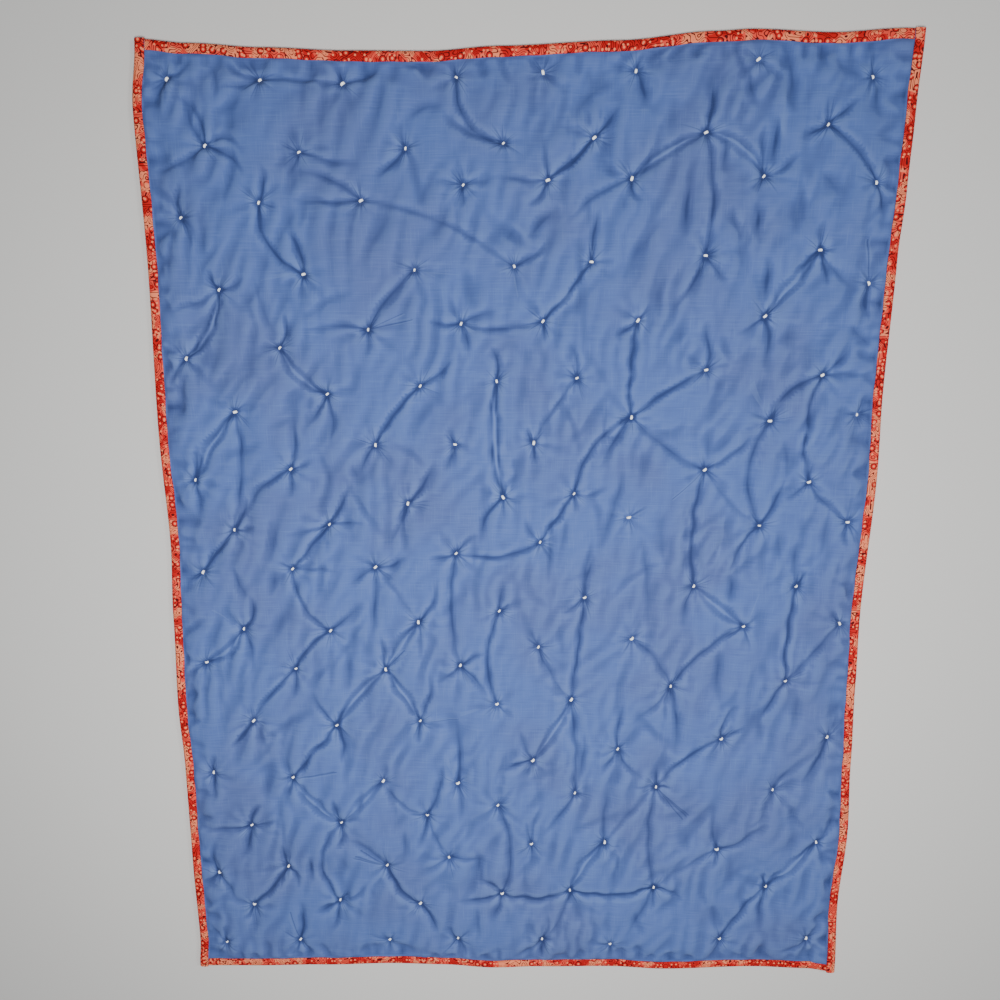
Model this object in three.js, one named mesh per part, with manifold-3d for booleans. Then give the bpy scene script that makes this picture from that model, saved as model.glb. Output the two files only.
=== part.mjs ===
// A baby quilt laid out flat, face up: one filled body tied through at a
// staggered lattice of thread ties, bound by four folded strips whose side
// pieces run over the ends of the top and bottom pieces. Millimetres, +Z up.
import * as THREE from 'three';
import Module from 'manifold-3d';

// Overall cut size of the quilt
const WIDTH = 900;
const LENGTH = 1220;

// Binding: a folded strip with a front leaf, a back leaf and the fold between
const BINDING_FACE = 12;
const BINDING_HEIGHT = 7;
const BINDING_CLOTH = 1.2;
const BINDING_ROUND = 3;
const FOLD_IN = 1;
const FOLD_DROP = 0.5;
const SLOT_REACH = 3;
const GAP = 0.3;

// Filled body: height of the puffs, of the flat margin held in the binding
// and of the cloth where it swells out beside the binding
const PUFF = 11.5;
const LOWEST_TOP = 3.4;
const MARGIN_FLOOR = BINDING_CLOTH + GAP;
const MARGIN_TOP = BINDING_HEIGHT - BINDING_CLOTH - GAP;
const MARGIN_NOSE = 1;
const NOSE_RUN = 2;
const LEAF_CLEAR = 0.5;
const SWELL_START = 2;
const SWELL_SHOULDER = 11;
const SWELL_TOP = 7.4;
const SWELL_RUN = 34;

// Thread ties: how deep each pulls the top down and how far the pucker runs
const TIE_DROP = 8;
const TIE_REACH = 20;
const FOLD_HALF_WIDTH = 11;
const FOLD_STEPS = 8;

// Divisions of the face between one tie line and the next
const STEPS_PER_COLUMN = 3;
const STEPS_PER_ROW = 4;

const BODY_BLUE = 0x6c86b8;
const BINDING_RED = 0xd8695c;

// How far each edge strays outside the cut size, read along the edge
const EDGES = {
  left: [
    { along: -609, out: 3 }, { along: -567, out: 0 }, { along: -450, out: 2 },
    { along: -300, out: 2 }, { along: -215, out: 5 }, { along: -90, out: 2 },
    { along: 10, out: -2 }, { along: 150, out: 2 }, { along: 365, out: -1 },
    { along: 530, out: 2 }, { along: 605, out: -6 },
  ],
  right: [
    { along: -605, out: -6 }, { along: -497, out: -10 }, { along: -390, out: -5 },
    { along: -285, out: -9 }, { along: -180, out: -12 }, { along: -80, out: -14 },
    { along: 105, out: -8 }, { along: 200, out: -10 }, { along: 360, out: -7 },
    { along: 440, out: -3 }, { along: 522, out: -1 }, { along: 610, out: 2 },
  ],
  top: [
    { along: -444, out: -5 }, { along: -382, out: -10 }, { along: -299, out: -15 },
    { along: -200, out: -19 }, { along: -108, out: -20 }, { along: -26, out: -15 },
    { along: 110, out: -10 }, { along: 217, out: -1 }, { along: 258, out: 1 },
    { along: 351, out: -3 }, { along: 431, out: 1 }, { along: 451, out: 0 },
  ],
  bottom: [
    { along: -453, out: -1 }, { along: -379, out: -2 }, { along: -276, out: -5 },
    { along: -173, out: -9 }, { along: -105, out: -8 }, { along: -37, out: -4 },
    { along: 31, out: -7 }, { along: 132, out: -9 }, { along: 199, out: -6 },
    { along: 334, out: -12 }, { along: 401, out: -10 }, { along: 444, out: -5 },
  ],
};

// Ties from the top row down, each row from the left: sideways and up from the
// middle. Odd rows hold the odd columns of the lattice and even rows the even.
const TIES = [
  [[-410, 562], [-302, 560], [-207, 556], [-76, 562], [23, 567], [129, 568], [266, 578], [397, 560]],
  [[-370, 489], [-261, 482], [-136, 486], [-22, 491], [83, 496], [212, 502], [351, 510]],
  [[-405, 409], [-311, 426], [-190, 428], [-69, 445], [30, 450], [128, 452], [281, 454], [410, 446]],
  [[-365, 326], [-262, 344], [-128, 349], [-9, 353], [83, 358], [218, 365], [352, 371]],
  [[-410, 244], [-295, 257], [-186, 279], [-73, 286], [26, 289], [140, 290], [292, 295], [412, 333]],
  [[-354, 179], [-239, 201], [-124, 211], [-30, 217], [68, 221], [225, 231], [365, 225]],
  [[-410, 93], [-289, 107], [-181, 138], [-82, 139], [16, 141], [136, 173], [306, 169], [411, 177]],
  [[-364, 29], [-243, 36], [-142, 64], [-22, 72], [67, 77], [229, 108], [359, 93]],
  [[-409, -28], [-293, -23], [-186, -20], [-82, -1], [25, 14], [136, 48], [301, 37], [411, 42]],
  [[-360, -104], [-247, -106], [-132, -94], [-27, -78], [83, -59], [222, -43], [352, -42]],
  [[-413, -151], [-295, -159], [-176, -159], [-78, -153], [24, -127], [145, -114], [288, -96], [411, -92]],
  [[-355, -233], [-244, -239], [-132, -231], [-30, -206], [68, -200], [198, -180], [346, -170]],
  [[-414, -310], [-306, -315], [-184, -320], [-83, -322], [18, -287], [131, -270], [268, -254], [407, -250]],
  [[-367, -388], [-243, -382], [-125, -370], [-29, -354], [75, -335], [184, -325], [340, -327]],
  [[-416, -461], [-319, -450], [-182, -447], [-96, -433], [17, -412], [117, -408], [270, -416], [404, -405]],
  [[-370, -510], [-249, -502], [-137, -505], [-23, -489], [71, -483], [186, -476], [340, -473]],
  [[-412, -570], [-308, -566], [-181, -563], [-85, -560], [33, -560], [128, -563], [281, -556], [400, -552]],
];

// Main folds of the top: tie row and tie column of each end, how far the fold
// bows to the left of its run, and how deep it lies
const FOLDS = [
  { from: [1, 3], to: [1, 5], bow: 2, depth: 2.5 },
  { from: [1, 7], to: [2, 8], bow: -9, depth: 3 },
  { from: [2, 10], to: [3, 9], bow: 3, depth: 5 },
  { from: [3, 9], to: [3.4, 8.5], bow: 0, depth: 3.5 },
  { from: [3, 11], to: [2, 12], bow: 4, depth: 3.5 },
  { from: [2, 12], to: [3, 13], bow: 5, depth: 3.5 },
  { from: [2, 12], to: [4, 12], bow: 8, depth: 3.5 },
  { from: [2, 14], to: [3, 15], bow: 4, depth: 4 },
  { from: [2, 2], to: [2.4, 0.8], bow: 3, depth: 3 },
  { from: [3, 3], to: [4, 4], bow: -10, depth: 4.5 },
  { from: [3, 5], to: [4, 8], bow: 6, depth: 3 },
  { from: [4, 2], to: [5, 1], bow: -5, depth: 4 },
  { from: [4, 6], to: [5, 5], bow: 4, depth: 4 },
  { from: [4, 10], to: [5, 9], bow: 5, depth: 4.5 },
  { from: [4, 12], to: [5, 11.4], bow: -4, depth: 4 },
  { from: [4, 14], to: [5, 13], bow: 4, depth: 4 },
  { from: [5, 3], to: [6, 4], bow: -6, depth: 4 },
  { from: [5, 7], to: [5, 9], bow: -7, depth: 3 },
  { from: [5, 11], to: [7, 11], bow: -6, depth: 4 },
  { from: [6, 2], to: [7, 1], bow: 3, depth: 3.5 },
  { from: [6, 2], to: [8, 2], bow: 9, depth: 3 },
  { from: [6, 6], to: [7, 5], bow: 2, depth: 4.5 },
  { from: [6, 8], to: [8, 8], bow: -4, depth: 4 },
  { from: [6, 10], to: [7, 9], bow: 4, depth: 4 },
  { from: [6, 14], to: [7, 13], bow: 8, depth: 4 },
  { from: [6, 14], to: [8, 14], bow: -11, depth: 4 },
  { from: [7, 11], to: [6, 12], bow: 4, depth: 4 },
  { from: [7, 11], to: [8, 10], bow: -8, depth: 4.5 },
  { from: [7, 3], to: [8, 2.2], bow: 6, depth: 3.5 },
  { from: [7, 13], to: [9, 13], bow: -18, depth: 4 },
  { from: [8, 2], to: [9, 1], bow: 1, depth: 4.5 },
  { from: [8, 4], to: [9, 3], bow: 2, depth: 4.5 },
  { from: [8, 4], to: [7.3, 4.6], bow: -3, depth: 3.5 },
  { from: [8, 10], to: [9, 9], bow: -3, depth: 4.5 },
  { from: [8, 12], to: [10, 12], bow: -8, depth: 4 },
  { from: [8, 14], to: [9, 15], bow: 4, depth: 3.5 },
  { from: [9, 7], to: [9, 9], bow: -8, depth: 3.5 },
  { from: [9, 7], to: [11, 7], bow: 9, depth: 3 },
  { from: [9, 13], to: [9.7, 12.4], bow: 4, depth: 4 },
  { from: [10, 4], to: [11, 3], bow: 6, depth: 4 },
  { from: [10, 6], to: [11, 5], bow: 2, depth: 4 },
  { from: [10, 8], to: [12, 8], bow: -14, depth: 4 },
  { from: [10, 10], to: [12, 10], bow: -3, depth: 4 },
  { from: [10, 14], to: [12, 14], bow: -6, depth: 4 },
  { from: [11, 3], to: [12, 2], bow: -5, depth: 3.5 },
  { from: [11, 5], to: [12, 4], bow: 4, depth: 4.5 },
  { from: [11, 5], to: [12, 6], bow: -4, depth: 4 },
  { from: [11, 13], to: [12, 12], bow: 8, depth: 4 },
  { from: [12, 4], to: [13, 3], bow: -4, depth: 4.5 },
  { from: [12, 10], to: [13, 9], bow: 3, depth: 4 },
  { from: [12, 10], to: [14, 10], bow: 6, depth: 3 },
  { from: [12, 14], to: [12.9, 13.4], bow: -3, depth: 3.5 },
  { from: [13, 13], to: [14, 12], bow: 5, depth: 4 },
  { from: [13, 15], to: [14, 14.4], bow: -3, depth: 3.5 },
  { from: [14, 4], to: [16, 4], bow: -18, depth: 4 },
  { from: [14, 8], to: [16, 8], bow: 12, depth: 3.5 },
  { from: [14, 12], to: [16, 12], bow: -8, depth: 3.5 },
  { from: [15, 3], to: [16, 2], bow: 3, depth: 4 },
  { from: [15, 5], to: [16, 6], bow: -5, depth: 5 },
  { from: [15, 11], to: [16, 10], bow: 4, depth: 4 },
  { from: [15, 15], to: [16, 14], bow: 3, depth: 4 },
  { from: [16, 8], to: [16, 10], bow: -9, depth: 5 },
  { from: [16, 10], to: [16, 12], bow: -7, depth: 5 },
  { from: [16, 14], to: [17, 13], bow: 3, depth: 4 },
];

const LAST_ROW = TIES.length;
const LAST_COLUMN = 2 * TIES[0].length - 1;

// The tie at a row and column, if there is one
function tieAt(row, column) {
  const first = 2 - (row % 2);
  return (column - first) % 2 === 0 ? TIES[row - 1]?.[(column - first) / 2] : undefined;
}

const meanOf = (values) => values.reduce((sum, value) => sum + value, 0) / values.length;

// Where a tie row crosses a tie column: at the tie, or else sideways as the
// ties above and below it and up as those on its left and right
function crossing(row, column) {
  const tie = tieAt(row, column);
  if (tie) {
    return new THREE.Vector2(...tie);
  }
  const upright = [tieAt(row - 1, column), tieAt(row + 1, column)].filter(Boolean);
  const level = [tieAt(row, column - 1), tieAt(row, column + 1)].filter(Boolean);
  return new THREE.Vector2(meanOf(upright.map(([x]) => x)), meanOf(level.map(([, y]) => y)));
}

// Place on the face of a whole or fractional tie row and column
function latticePlace(row, column) {
  const c0 = THREE.MathUtils.clamp(Math.floor(column), 1, LAST_COLUMN - 1);
  const r0 = THREE.MathUtils.clamp(Math.floor(row), 1, LAST_ROW - 1);
  const above = crossing(r0, c0).lerp(crossing(r0, c0 + 1), column - c0);
  const below = crossing(r0 + 1, c0).lerp(crossing(r0 + 1, c0 + 1), column - c0);
  return above.lerp(below, row - r0);
}

// Knots of the edges, set at the tie lines that run up to them
const halfRows = Array.from({ length: 2 * LAST_ROW - 1 }, (_, k) => LAST_ROW - k / 2);
const columns = Array.from({ length: LAST_COLUMN }, (_, k) => k + 1);
const upTo = (half, places) => [-half, ...places, half];
const sideKnots = (column) => upTo(LENGTH / 2, halfRows.map((row) => latticePlace(row, column).y));
const endKnots = (row) => upTo(WIDTH / 2, columns.map((column) => latticePlace(row, column).x));

// Eased line between neighbouring rows of a table sorted along its run
function readAlong(table, along) {
  let k = 0;
  while (k < table.length - 2 && along > table[k + 1].along) {
    k += 1;
  }
  const here = table[k];
  const next = table[k + 1];
  const share = THREE.MathUtils.smoothstep(along, here.along, next.along);
  return THREE.MathUtils.lerp(here.out, next.out, share);
}

// An edge in straight runs from knot to knot, `outward` being its direction
function edgeLine(table, knots, outward, half) {
  const at = (along) => {
    let k = 0;
    while (k < knots.length - 2 && along > knots[k + 1]) {
      k += 1;
    }
    const share = (along - knots[k]) / (knots[k + 1] - knots[k]);
    const stray = THREE.MathUtils.lerp(readAlong(table, knots[k]), readAlong(table, knots[k + 1]), share);
    return outward * (half + stray);
  };
  return Object.assign(at, { knots });
}

const leftEdge = edgeLine(EDGES.left, sideKnots(1), -1, WIDTH / 2);
const rightEdge = edgeLine(EDGES.right, sideKnots(LAST_COLUMN), 1, WIDTH / 2);
const topEdge = edgeLine(EDGES.top, endKnots(1), 1, LENGTH / 2);
const bottomEdge = edgeLine(EDGES.bottom, endKnots(LAST_ROW), -1, LENGTH / 2);

const ties = TIES.flat().map(([x, y]) => new THREE.Vector2(x, y));

// Each fold as a run of short straight pieces along its bowed line
const folds = FOLDS.map(({ from, to, bow, depth }) => {
  const start = latticePlace(...from);
  const end = latticePlace(...to);
  const side = new THREE.Vector2(start.y - end.y, end.x - start.x).normalize();
  const line = [];
  for (let k = 0; k <= FOLD_STEPS; k += 1) {
    const share = k / FOLD_STEPS;
    const lean = 4 * share * (1 - share) * bow;
    line.push(start.clone().lerp(end, share).addScaledVector(side, lean));
  }
  return { line, depth };
});

function distanceToLine(point, line) {
  let nearest = Infinity;
  for (let k = 0; k < line.length - 1; k += 1) {
    const run = line[k + 1].clone().sub(line[k]);
    const reach = point.clone().sub(line[k]);
    const share = THREE.MathUtils.clamp(reach.dot(run) / run.lengthSq(), 0, 1);
    nearest = Math.min(nearest, reach.addScaledVector(run, -share).length());
  }
  return nearest;
}

// Height of the quilt's face: puffed up, drawn down at ties and along folds
function faceHeight(point, fromBinding) {
  let z = PUFF;
  for (const tie of ties) {
    z -= TIE_DROP * Math.exp(-point.distanceTo(tie) / TIE_REACH);
  }
  for (const { line, depth } of folds) {
    const across = distanceToLine(point, line) / FOLD_HALF_WIDTH;
    z -= depth * Math.exp(-across * across);
  }
  const held = THREE.MathUtils.smoothstep(fromBinding, 0, SWELL_RUN);
  return THREE.MathUtils.lerp(SWELL_TOP, Math.max(z, LOWEST_TOP), held);
}

// Rings of the margin, from the edge inwards: how far in, and the heights of
// the top and underside there
const MARGIN_RINGS = [
  { inset: MARGIN_FLOOR, top: MARGIN_TOP - MARGIN_NOSE, under: MARGIN_FLOOR + MARGIN_NOSE },
  { inset: MARGIN_FLOOR + NOSE_RUN, top: MARGIN_TOP, under: MARGIN_FLOOR },
  { inset: BINDING_FACE + LEAF_CLEAR, top: MARGIN_TOP, under: MARGIN_FLOOR },
  { inset: BINDING_FACE + SWELL_START, top: SWELL_TOP, under: 0 },
];
const SHOULDER_INSET = BINDING_FACE + SWELL_SHOULDER;

// Grid lines across and down the quilt: margin insets at either side and the
// tie lines with their divisions between
function gridLines(lastTie, steps) {
  const insets = [...MARGIN_RINGS.map((ring) => ring.inset), SHOULDER_INSET];
  const lines = insets.map((inset) => ({ inset, tie: 1, low: true }));
  for (let k = 0; k <= (lastTie - 1) * steps; k += 1) {
    lines.push({ tie: 1 + k / steps });
  }
  return lines.concat(insets.reverse().map((inset) => ({ inset, tie: lastTie, low: false })));
}

const across = gridLines(LAST_COLUMN, STEPS_PER_COLUMN);
const down = gridLines(LAST_ROW, STEPS_PER_ROW);
const EDGE_PASSES = 4;

// A point of the grid: where it lies in the margin it keeps its insets from
// the edges, each read again where the other has moved the point
function gridPoint(i, j) {
  const point = latticePlace(down[j].tie, across[i].tie);
  for (let pass = 0; pass < EDGE_PASSES; pass += 1) {
    if (down[j].inset !== undefined) {
      const { low, inset } = down[j];
      point.y = low ? topEdge(point.x) - inset : bottomEdge(point.x) + inset;
    }
    if (across[i].inset !== undefined) {
      const { low, inset } = across[i];
      point.x = low ? leftEdge(point.y) + inset : rightEdge(point.y) - inset;
    }
  }
  return point;
}

function meshFrom(name, positions, triangles, colour) {
  const geometry = new THREE.BufferGeometry();
  geometry.setAttribute('position', new THREE.Float32BufferAttribute(positions, 3));
  geometry.setIndex(triangles);
  geometry.computeVertexNormals();
  const material = new THREE.MeshStandardMaterial({ color: colour, roughness: 0.9, metalness: 0 });
  const mesh = new THREE.Mesh(geometry, material);
  mesh.name = name;
  return mesh;
}

// Filled body: the face on the grid, and an underside of the margin rings and
// one flat panel that lies on the surface below
function quiltBody() {
  const positions = [];
  const triangles = [];
  const cols = across.length;
  const rows = down.length;
  const ringOf = (i, j) => Math.min(i, j, cols - 1 - i, rows - 1 - j);
  for (let j = 0; j < rows; j += 1) {
    for (let i = 0; i < cols; i += 1) {
      const point = gridPoint(i, j);
      const ring = MARGIN_RINGS[ringOf(i, j)];
      const fromBinding = Math.min(
        point.x - leftEdge(point.y), rightEdge(point.y) - point.x,
        topEdge(point.x) - point.y, point.y - bottomEdge(point.x),
      ) - MARGIN_RINGS[MARGIN_RINGS.length - 1].inset;
      const z = ring ? ring.top : faceHeight(point, fromBinding);
      positions.push(point.x, point.y, z);
    }
  }
  for (let j = 0; j < rows - 1; j += 1) {
    for (let i = 0; i < cols - 1; i += 1) {
      const a = j * cols + i;
      triangles.push(a, a + cols, a + 1, a + 1, a + cols, a + cols + 1);
    }
  }
  const loops = MARGIN_RINGS.map((ring, k) => {
    const loop = [];
    const add = (i, j) => {
      const a = 3 * (j * cols + i);
      loop.push({ x: positions[a], y: positions[a + 1], z: ring.under, face: a / 3 });
    };
    for (let i = k; i < cols - 1 - k; i += 1) add(i, k);
    for (let j = k; j < rows - 1 - k; j += 1) add(cols - 1 - k, j);
    for (let i = cols - 1 - k; i > k; i -= 1) add(i, rows - 1 - k);
    for (let j = rows - 1 - k; j > k; j -= 1) add(k, j);
    loop.forEach((spot) => {
      spot.index = positions.length / 3;
      positions.push(spot.x, spot.y, spot.z);
    });
    return loop;
  });
  loops[0].forEach((spot, n) => {
    const next = loops[0][(n + 1) % loops[0].length];
    triangles.push(spot.face, next.face, spot.index, next.face, next.index, spot.index);
  });
  for (let k = 0; k < loops.length - 1; k += 1) {
    bridge(loops[k], loops[k + 1], triangles);
  }
  const inner = loops[loops.length - 1];
  const panel = THREE.ShapeUtils.triangulateShape(inner.map((s) => new THREE.Vector2(s.x, s.y)), []);
  panel.forEach(([a, b, c]) => triangles.push(inner[a].index, inner[c].index, inner[b].index));
  return meshFrom('quilt_body', positions, triangles, BODY_BLUE);
}

// Triangles between an outer loop and the loop one grid line inside it, which
// is shorter by two spots at every corner
function bridge(outer, inner, triangles) {
  const near = (spot, other) => (spot.x - other.x) ** 2 + (spot.y - other.y) ** 2;
  let a = 0;
  let b = 0;
  while (a < outer.length || b < inner.length) {
    const spot = outer[a % outer.length];
    const nextSpot = outer[(a + 1) % outer.length];
    const mate = inner[b % inner.length];
    const nextMate = inner[(b + 1) % inner.length];
    const stepOuter = b >= inner.length
      || (a < outer.length && near(nextSpot, mate) <= near(spot, nextMate));
    if (stepOuter) {
      triangles.push(spot.index, nextSpot.index, mate.index);
      a += 1;
    } else {
      triangles.push(spot.index, nextMate.index, mate.index);
      b += 1;
    }
  }
}

// Section of a binding strip, from the fold inwards: in from the edge, and up
const STRIP_OUTSIDE = [
  { inset: 0, up: BINDING_ROUND - FOLD_IN },
  { inset: 0, up: BINDING_HEIGHT - BINDING_ROUND + FOLD_IN },
  { inset: FOLD_IN, up: BINDING_HEIGHT - FOLD_DROP },
  { inset: BINDING_ROUND, up: BINDING_HEIGHT },
  { inset: BINDING_FACE, up: BINDING_HEIGHT },
  { inset: BINDING_FACE, up: 0 },
  { inset: BINDING_ROUND, up: 0 },
  { inset: FOLD_IN, up: FOLD_DROP },
];

// Section of the slot between its leaves, which holds the body's margin
const STRIP_SLOT = [
  { inset: BINDING_CLOTH, up: MARGIN_FLOOR + MARGIN_NOSE - GAP },
  { inset: BINDING_CLOTH, up: MARGIN_TOP - MARGIN_NOSE + GAP },
  { inset: MARGIN_FLOOR + NOSE_RUN - FOLD_DROP, up: MARGIN_TOP + GAP },
  { inset: BINDING_FACE + SLOT_REACH, up: MARGIN_TOP + GAP },
  { inset: BINDING_FACE + SLOT_REACH, up: BINDING_CLOTH },
  { inset: MARGIN_FLOOR + NOSE_RUN - FOLD_DROP, up: BINDING_CLOTH },
];

const wasm = await Module();
wasm.setup();

// Closed solid of one section carried along a run of stations
function carried(section, stations, place) {
  const count = section.length;
  const spots = stations.flatMap((station) => section.map(({ inset, up }) => place(station, inset, up)));
  const triangles = [];
  for (let k = 0; k < stations.length - 1; k += 1) {
    for (let n = 0; n < count; n += 1) {
      const a = k * count + n;
      const b = k * count + ((n + 1) % count);
      triangles.push([a, b, a + count], [b, b + count, a + count]);
    }
  }
  const outline = section.map(({ inset, up }) => new THREE.Vector2(inset, up));
  const last = (stations.length - 1) * count;
  const turned = THREE.ShapeUtils.isClockWise(outline);
  THREE.ShapeUtils.triangulateShape(outline, []).forEach(([a, b, c]) => {
    triangles.push(turned ? [a, b, c] : [a, c, b]);
    triangles.push(turned ? [last + a, last + c, last + b] : [last + a, last + b, last + c]);
  });
  const volume = triangles.reduce((sum, [a, b, c]) => {
    const cross = spots[b].clone().cross(spots[c]);
    return sum + spots[a].dot(cross);
  }, 0);
  const facing = triangles.flatMap(([a, b, c]) => (volume > 0 ? [a, b, c] : [a, c, b]));
  return new wasm.Manifold(new wasm.Mesh({
    numProp: 3,
    vertProperties: new Float32Array(spots.flatMap((spot) => spot.toArray())),
    triVerts: new Uint32Array(facing),
  }));
}

// Stations of a strip: its two ends and the edge's knots between them
function stationsBetween(first, last, edge) {
  return [first, ...edge.knots.filter((knot) => knot > first && knot < last), last];
}

function stripMesh(name, outside, slot) {
  const { vertProperties, triVerts } = outside.subtract(slot).getMesh();
  return meshFrom(name, Array.from(vertProperties), Array.from(triVerts), BINDING_RED);
}

// Side strip: runs the whole height, its folded-in ends closing the slot
function sideStrip(name, edge, inward) {
  const place = (y, inset, up) => new THREE.Vector3(edge(y) + inward * inset, y, up);
  const outerX = edge(LENGTH / 2);
  const top = Math.max(topEdge(outerX), topEdge(outerX + inward * BINDING_FACE));
  const lowX = edge(-LENGTH / 2);
  const bottom = Math.min(bottomEdge(lowX), bottomEdge(lowX + inward * BINDING_FACE));
  const slotStations = stationsBetween(bottom + BINDING_CLOTH, top - BINDING_CLOTH, edge);
  const outside = carried(STRIP_OUTSIDE, stationsBetween(bottom, top, edge), place);
  return stripMesh(name, outside, carried(STRIP_SLOT, slotStations, place));
}

// End strip: lies between the side strips, each end cut to lie along theirs
function endStrip(name, edge, inward) {
  const clear = BINDING_FACE + GAP;
  const place = (station, inset, up) => {
    if (!station.cut) {
      return new THREE.Vector3(station, edge(station) + inward * inset, up);
    }
    const nearX = station.cut(edge(0));
    const y = edge(nearX) + inward * inset;
    return new THREE.Vector3(station.cut(y), edge(station.cut(y)) + inward * inset, up);
  };
  const run = (reach) => [
    { cut: (y) => leftEdge(y) + clear - reach },
    ...edge.knots.slice(1, -1),
    { cut: (y) => rightEdge(y) - clear + reach },
  ];
  const outside = carried(STRIP_OUTSIDE, run(0), place);
  return stripMesh(name, outside, carried(STRIP_SLOT, run(SLOT_REACH), place));
}

const group = new THREE.Group();
group.name = 'baby_quilt';
group.add(
  quiltBody(),
  sideStrip('binding_left', leftEdge, 1),
  sideStrip('binding_right', rightEdge, -1),
  endStrip('binding_top', topEdge, -1),
  endStrip('binding_bottom', bottomEdge, 1),
);

// The middle of the underside is the origin
const box = new THREE.Box3().setFromObject(group);
const middle = box.getCenter(new THREE.Vector3());
group.children.forEach((mesh) => mesh.geometry.translate(-middle.x, -middle.y, -box.min.z));

export default group;
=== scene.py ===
"""A tied baby quilt laid out face up: padded blue panel, folded printed binding, white thread ties."""

import bpy
import numpy as np
from mathutils import Matrix, Vector


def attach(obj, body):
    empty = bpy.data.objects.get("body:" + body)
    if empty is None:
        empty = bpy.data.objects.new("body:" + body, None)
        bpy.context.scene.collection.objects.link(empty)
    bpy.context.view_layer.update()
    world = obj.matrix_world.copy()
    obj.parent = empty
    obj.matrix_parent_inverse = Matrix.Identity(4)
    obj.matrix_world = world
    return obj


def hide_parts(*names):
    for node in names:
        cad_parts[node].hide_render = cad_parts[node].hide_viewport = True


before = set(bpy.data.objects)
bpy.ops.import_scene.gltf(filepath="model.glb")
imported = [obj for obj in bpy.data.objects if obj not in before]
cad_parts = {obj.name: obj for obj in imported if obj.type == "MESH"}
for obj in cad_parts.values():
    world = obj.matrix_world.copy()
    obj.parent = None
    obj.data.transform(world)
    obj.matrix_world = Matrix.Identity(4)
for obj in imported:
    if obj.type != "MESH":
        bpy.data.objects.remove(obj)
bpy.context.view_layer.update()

# The padded panel: blue chambray over thin filling and a back cloth, tied
# through at staggered places so that the top puckers and folds between them.
# It is cut a little unevenly, and its flat margin lies inside the binding.
MM = 0.001
WIDTH = 900 * MM
LENGTH = 1220 * MM
EDGE_STRAY = {  # place along the edge, and how far it strays outside the cut size, in mm
    "left": [(-609, 3), (-567, 0), (-450, 2), (-300, 2), (-215, 5), (-90, 2), (10, -2), (150, 2),
             (365, -1), (530, 2), (605, -6)],
    "right": [(-605, -6), (-497, -10), (-390, -5), (-285, -9), (-180, -12), (-80, -14), (105, -8),
              (200, -10), (360, -7), (440, -3), (522, -1), (610, 2)],
    "top": [(-444, -5), (-382, -10), (-299, -15), (-200, -19), (-108, -20), (-26, -15), (110, -10),
            (217, -1), (258, 1), (351, -3), (431, 1), (451, 0)],
    "bottom": [(-453, -1), (-379, -2), (-276, -5), (-173, -9), (-105, -8), (-37, -4), (31, -7),
               (132, -9), (199, -6), (334, -12), (401, -10), (444, -5)],
}


def stray(side, along):
    """Eased line between neighbouring rows of the side's table."""
    places, outs = np.array(EDGE_STRAY[side], float).T * MM
    k = np.clip(np.searchsorted(places, along) - 1, 0, len(places) - 2)
    share = np.clip((along - places[k]) / (places[k + 1] - places[k]), 0, 1)
    return outs[k] + (outs[k + 1] - outs[k]) * share * share * (3 - 2 * share)


def left_edge(y):
    """Half the width to the left, and the stray."""
    return -WIDTH / 2 - stray("left", y)


def right_edge(y):
    """Half the width to the right, and the stray."""
    return WIDTH / 2 + stray("right", y)


def top_edge(x):
    """Half the length up the quilt, and the stray."""
    return LENGTH / 2 + stray("top", x)


def bottom_edge(x):
    """Half the length down the quilt, and the stray."""
    return -LENGTH / 2 - stray("bottom", x)


ALONG_SIDE = np.linspace(-LENGTH / 2, LENGTH / 2, 200)
ALONG_END = np.linspace(-WIDTH / 2, WIDTH / 2, 200)
MIDDLE = np.array([(left_edge(ALONG_SIDE).min() + right_edge(ALONG_SIDE).max()) / 2,
                   (top_edge(ALONG_END).max() + bottom_edge(ALONG_END).min()) / 2, 0])

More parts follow.
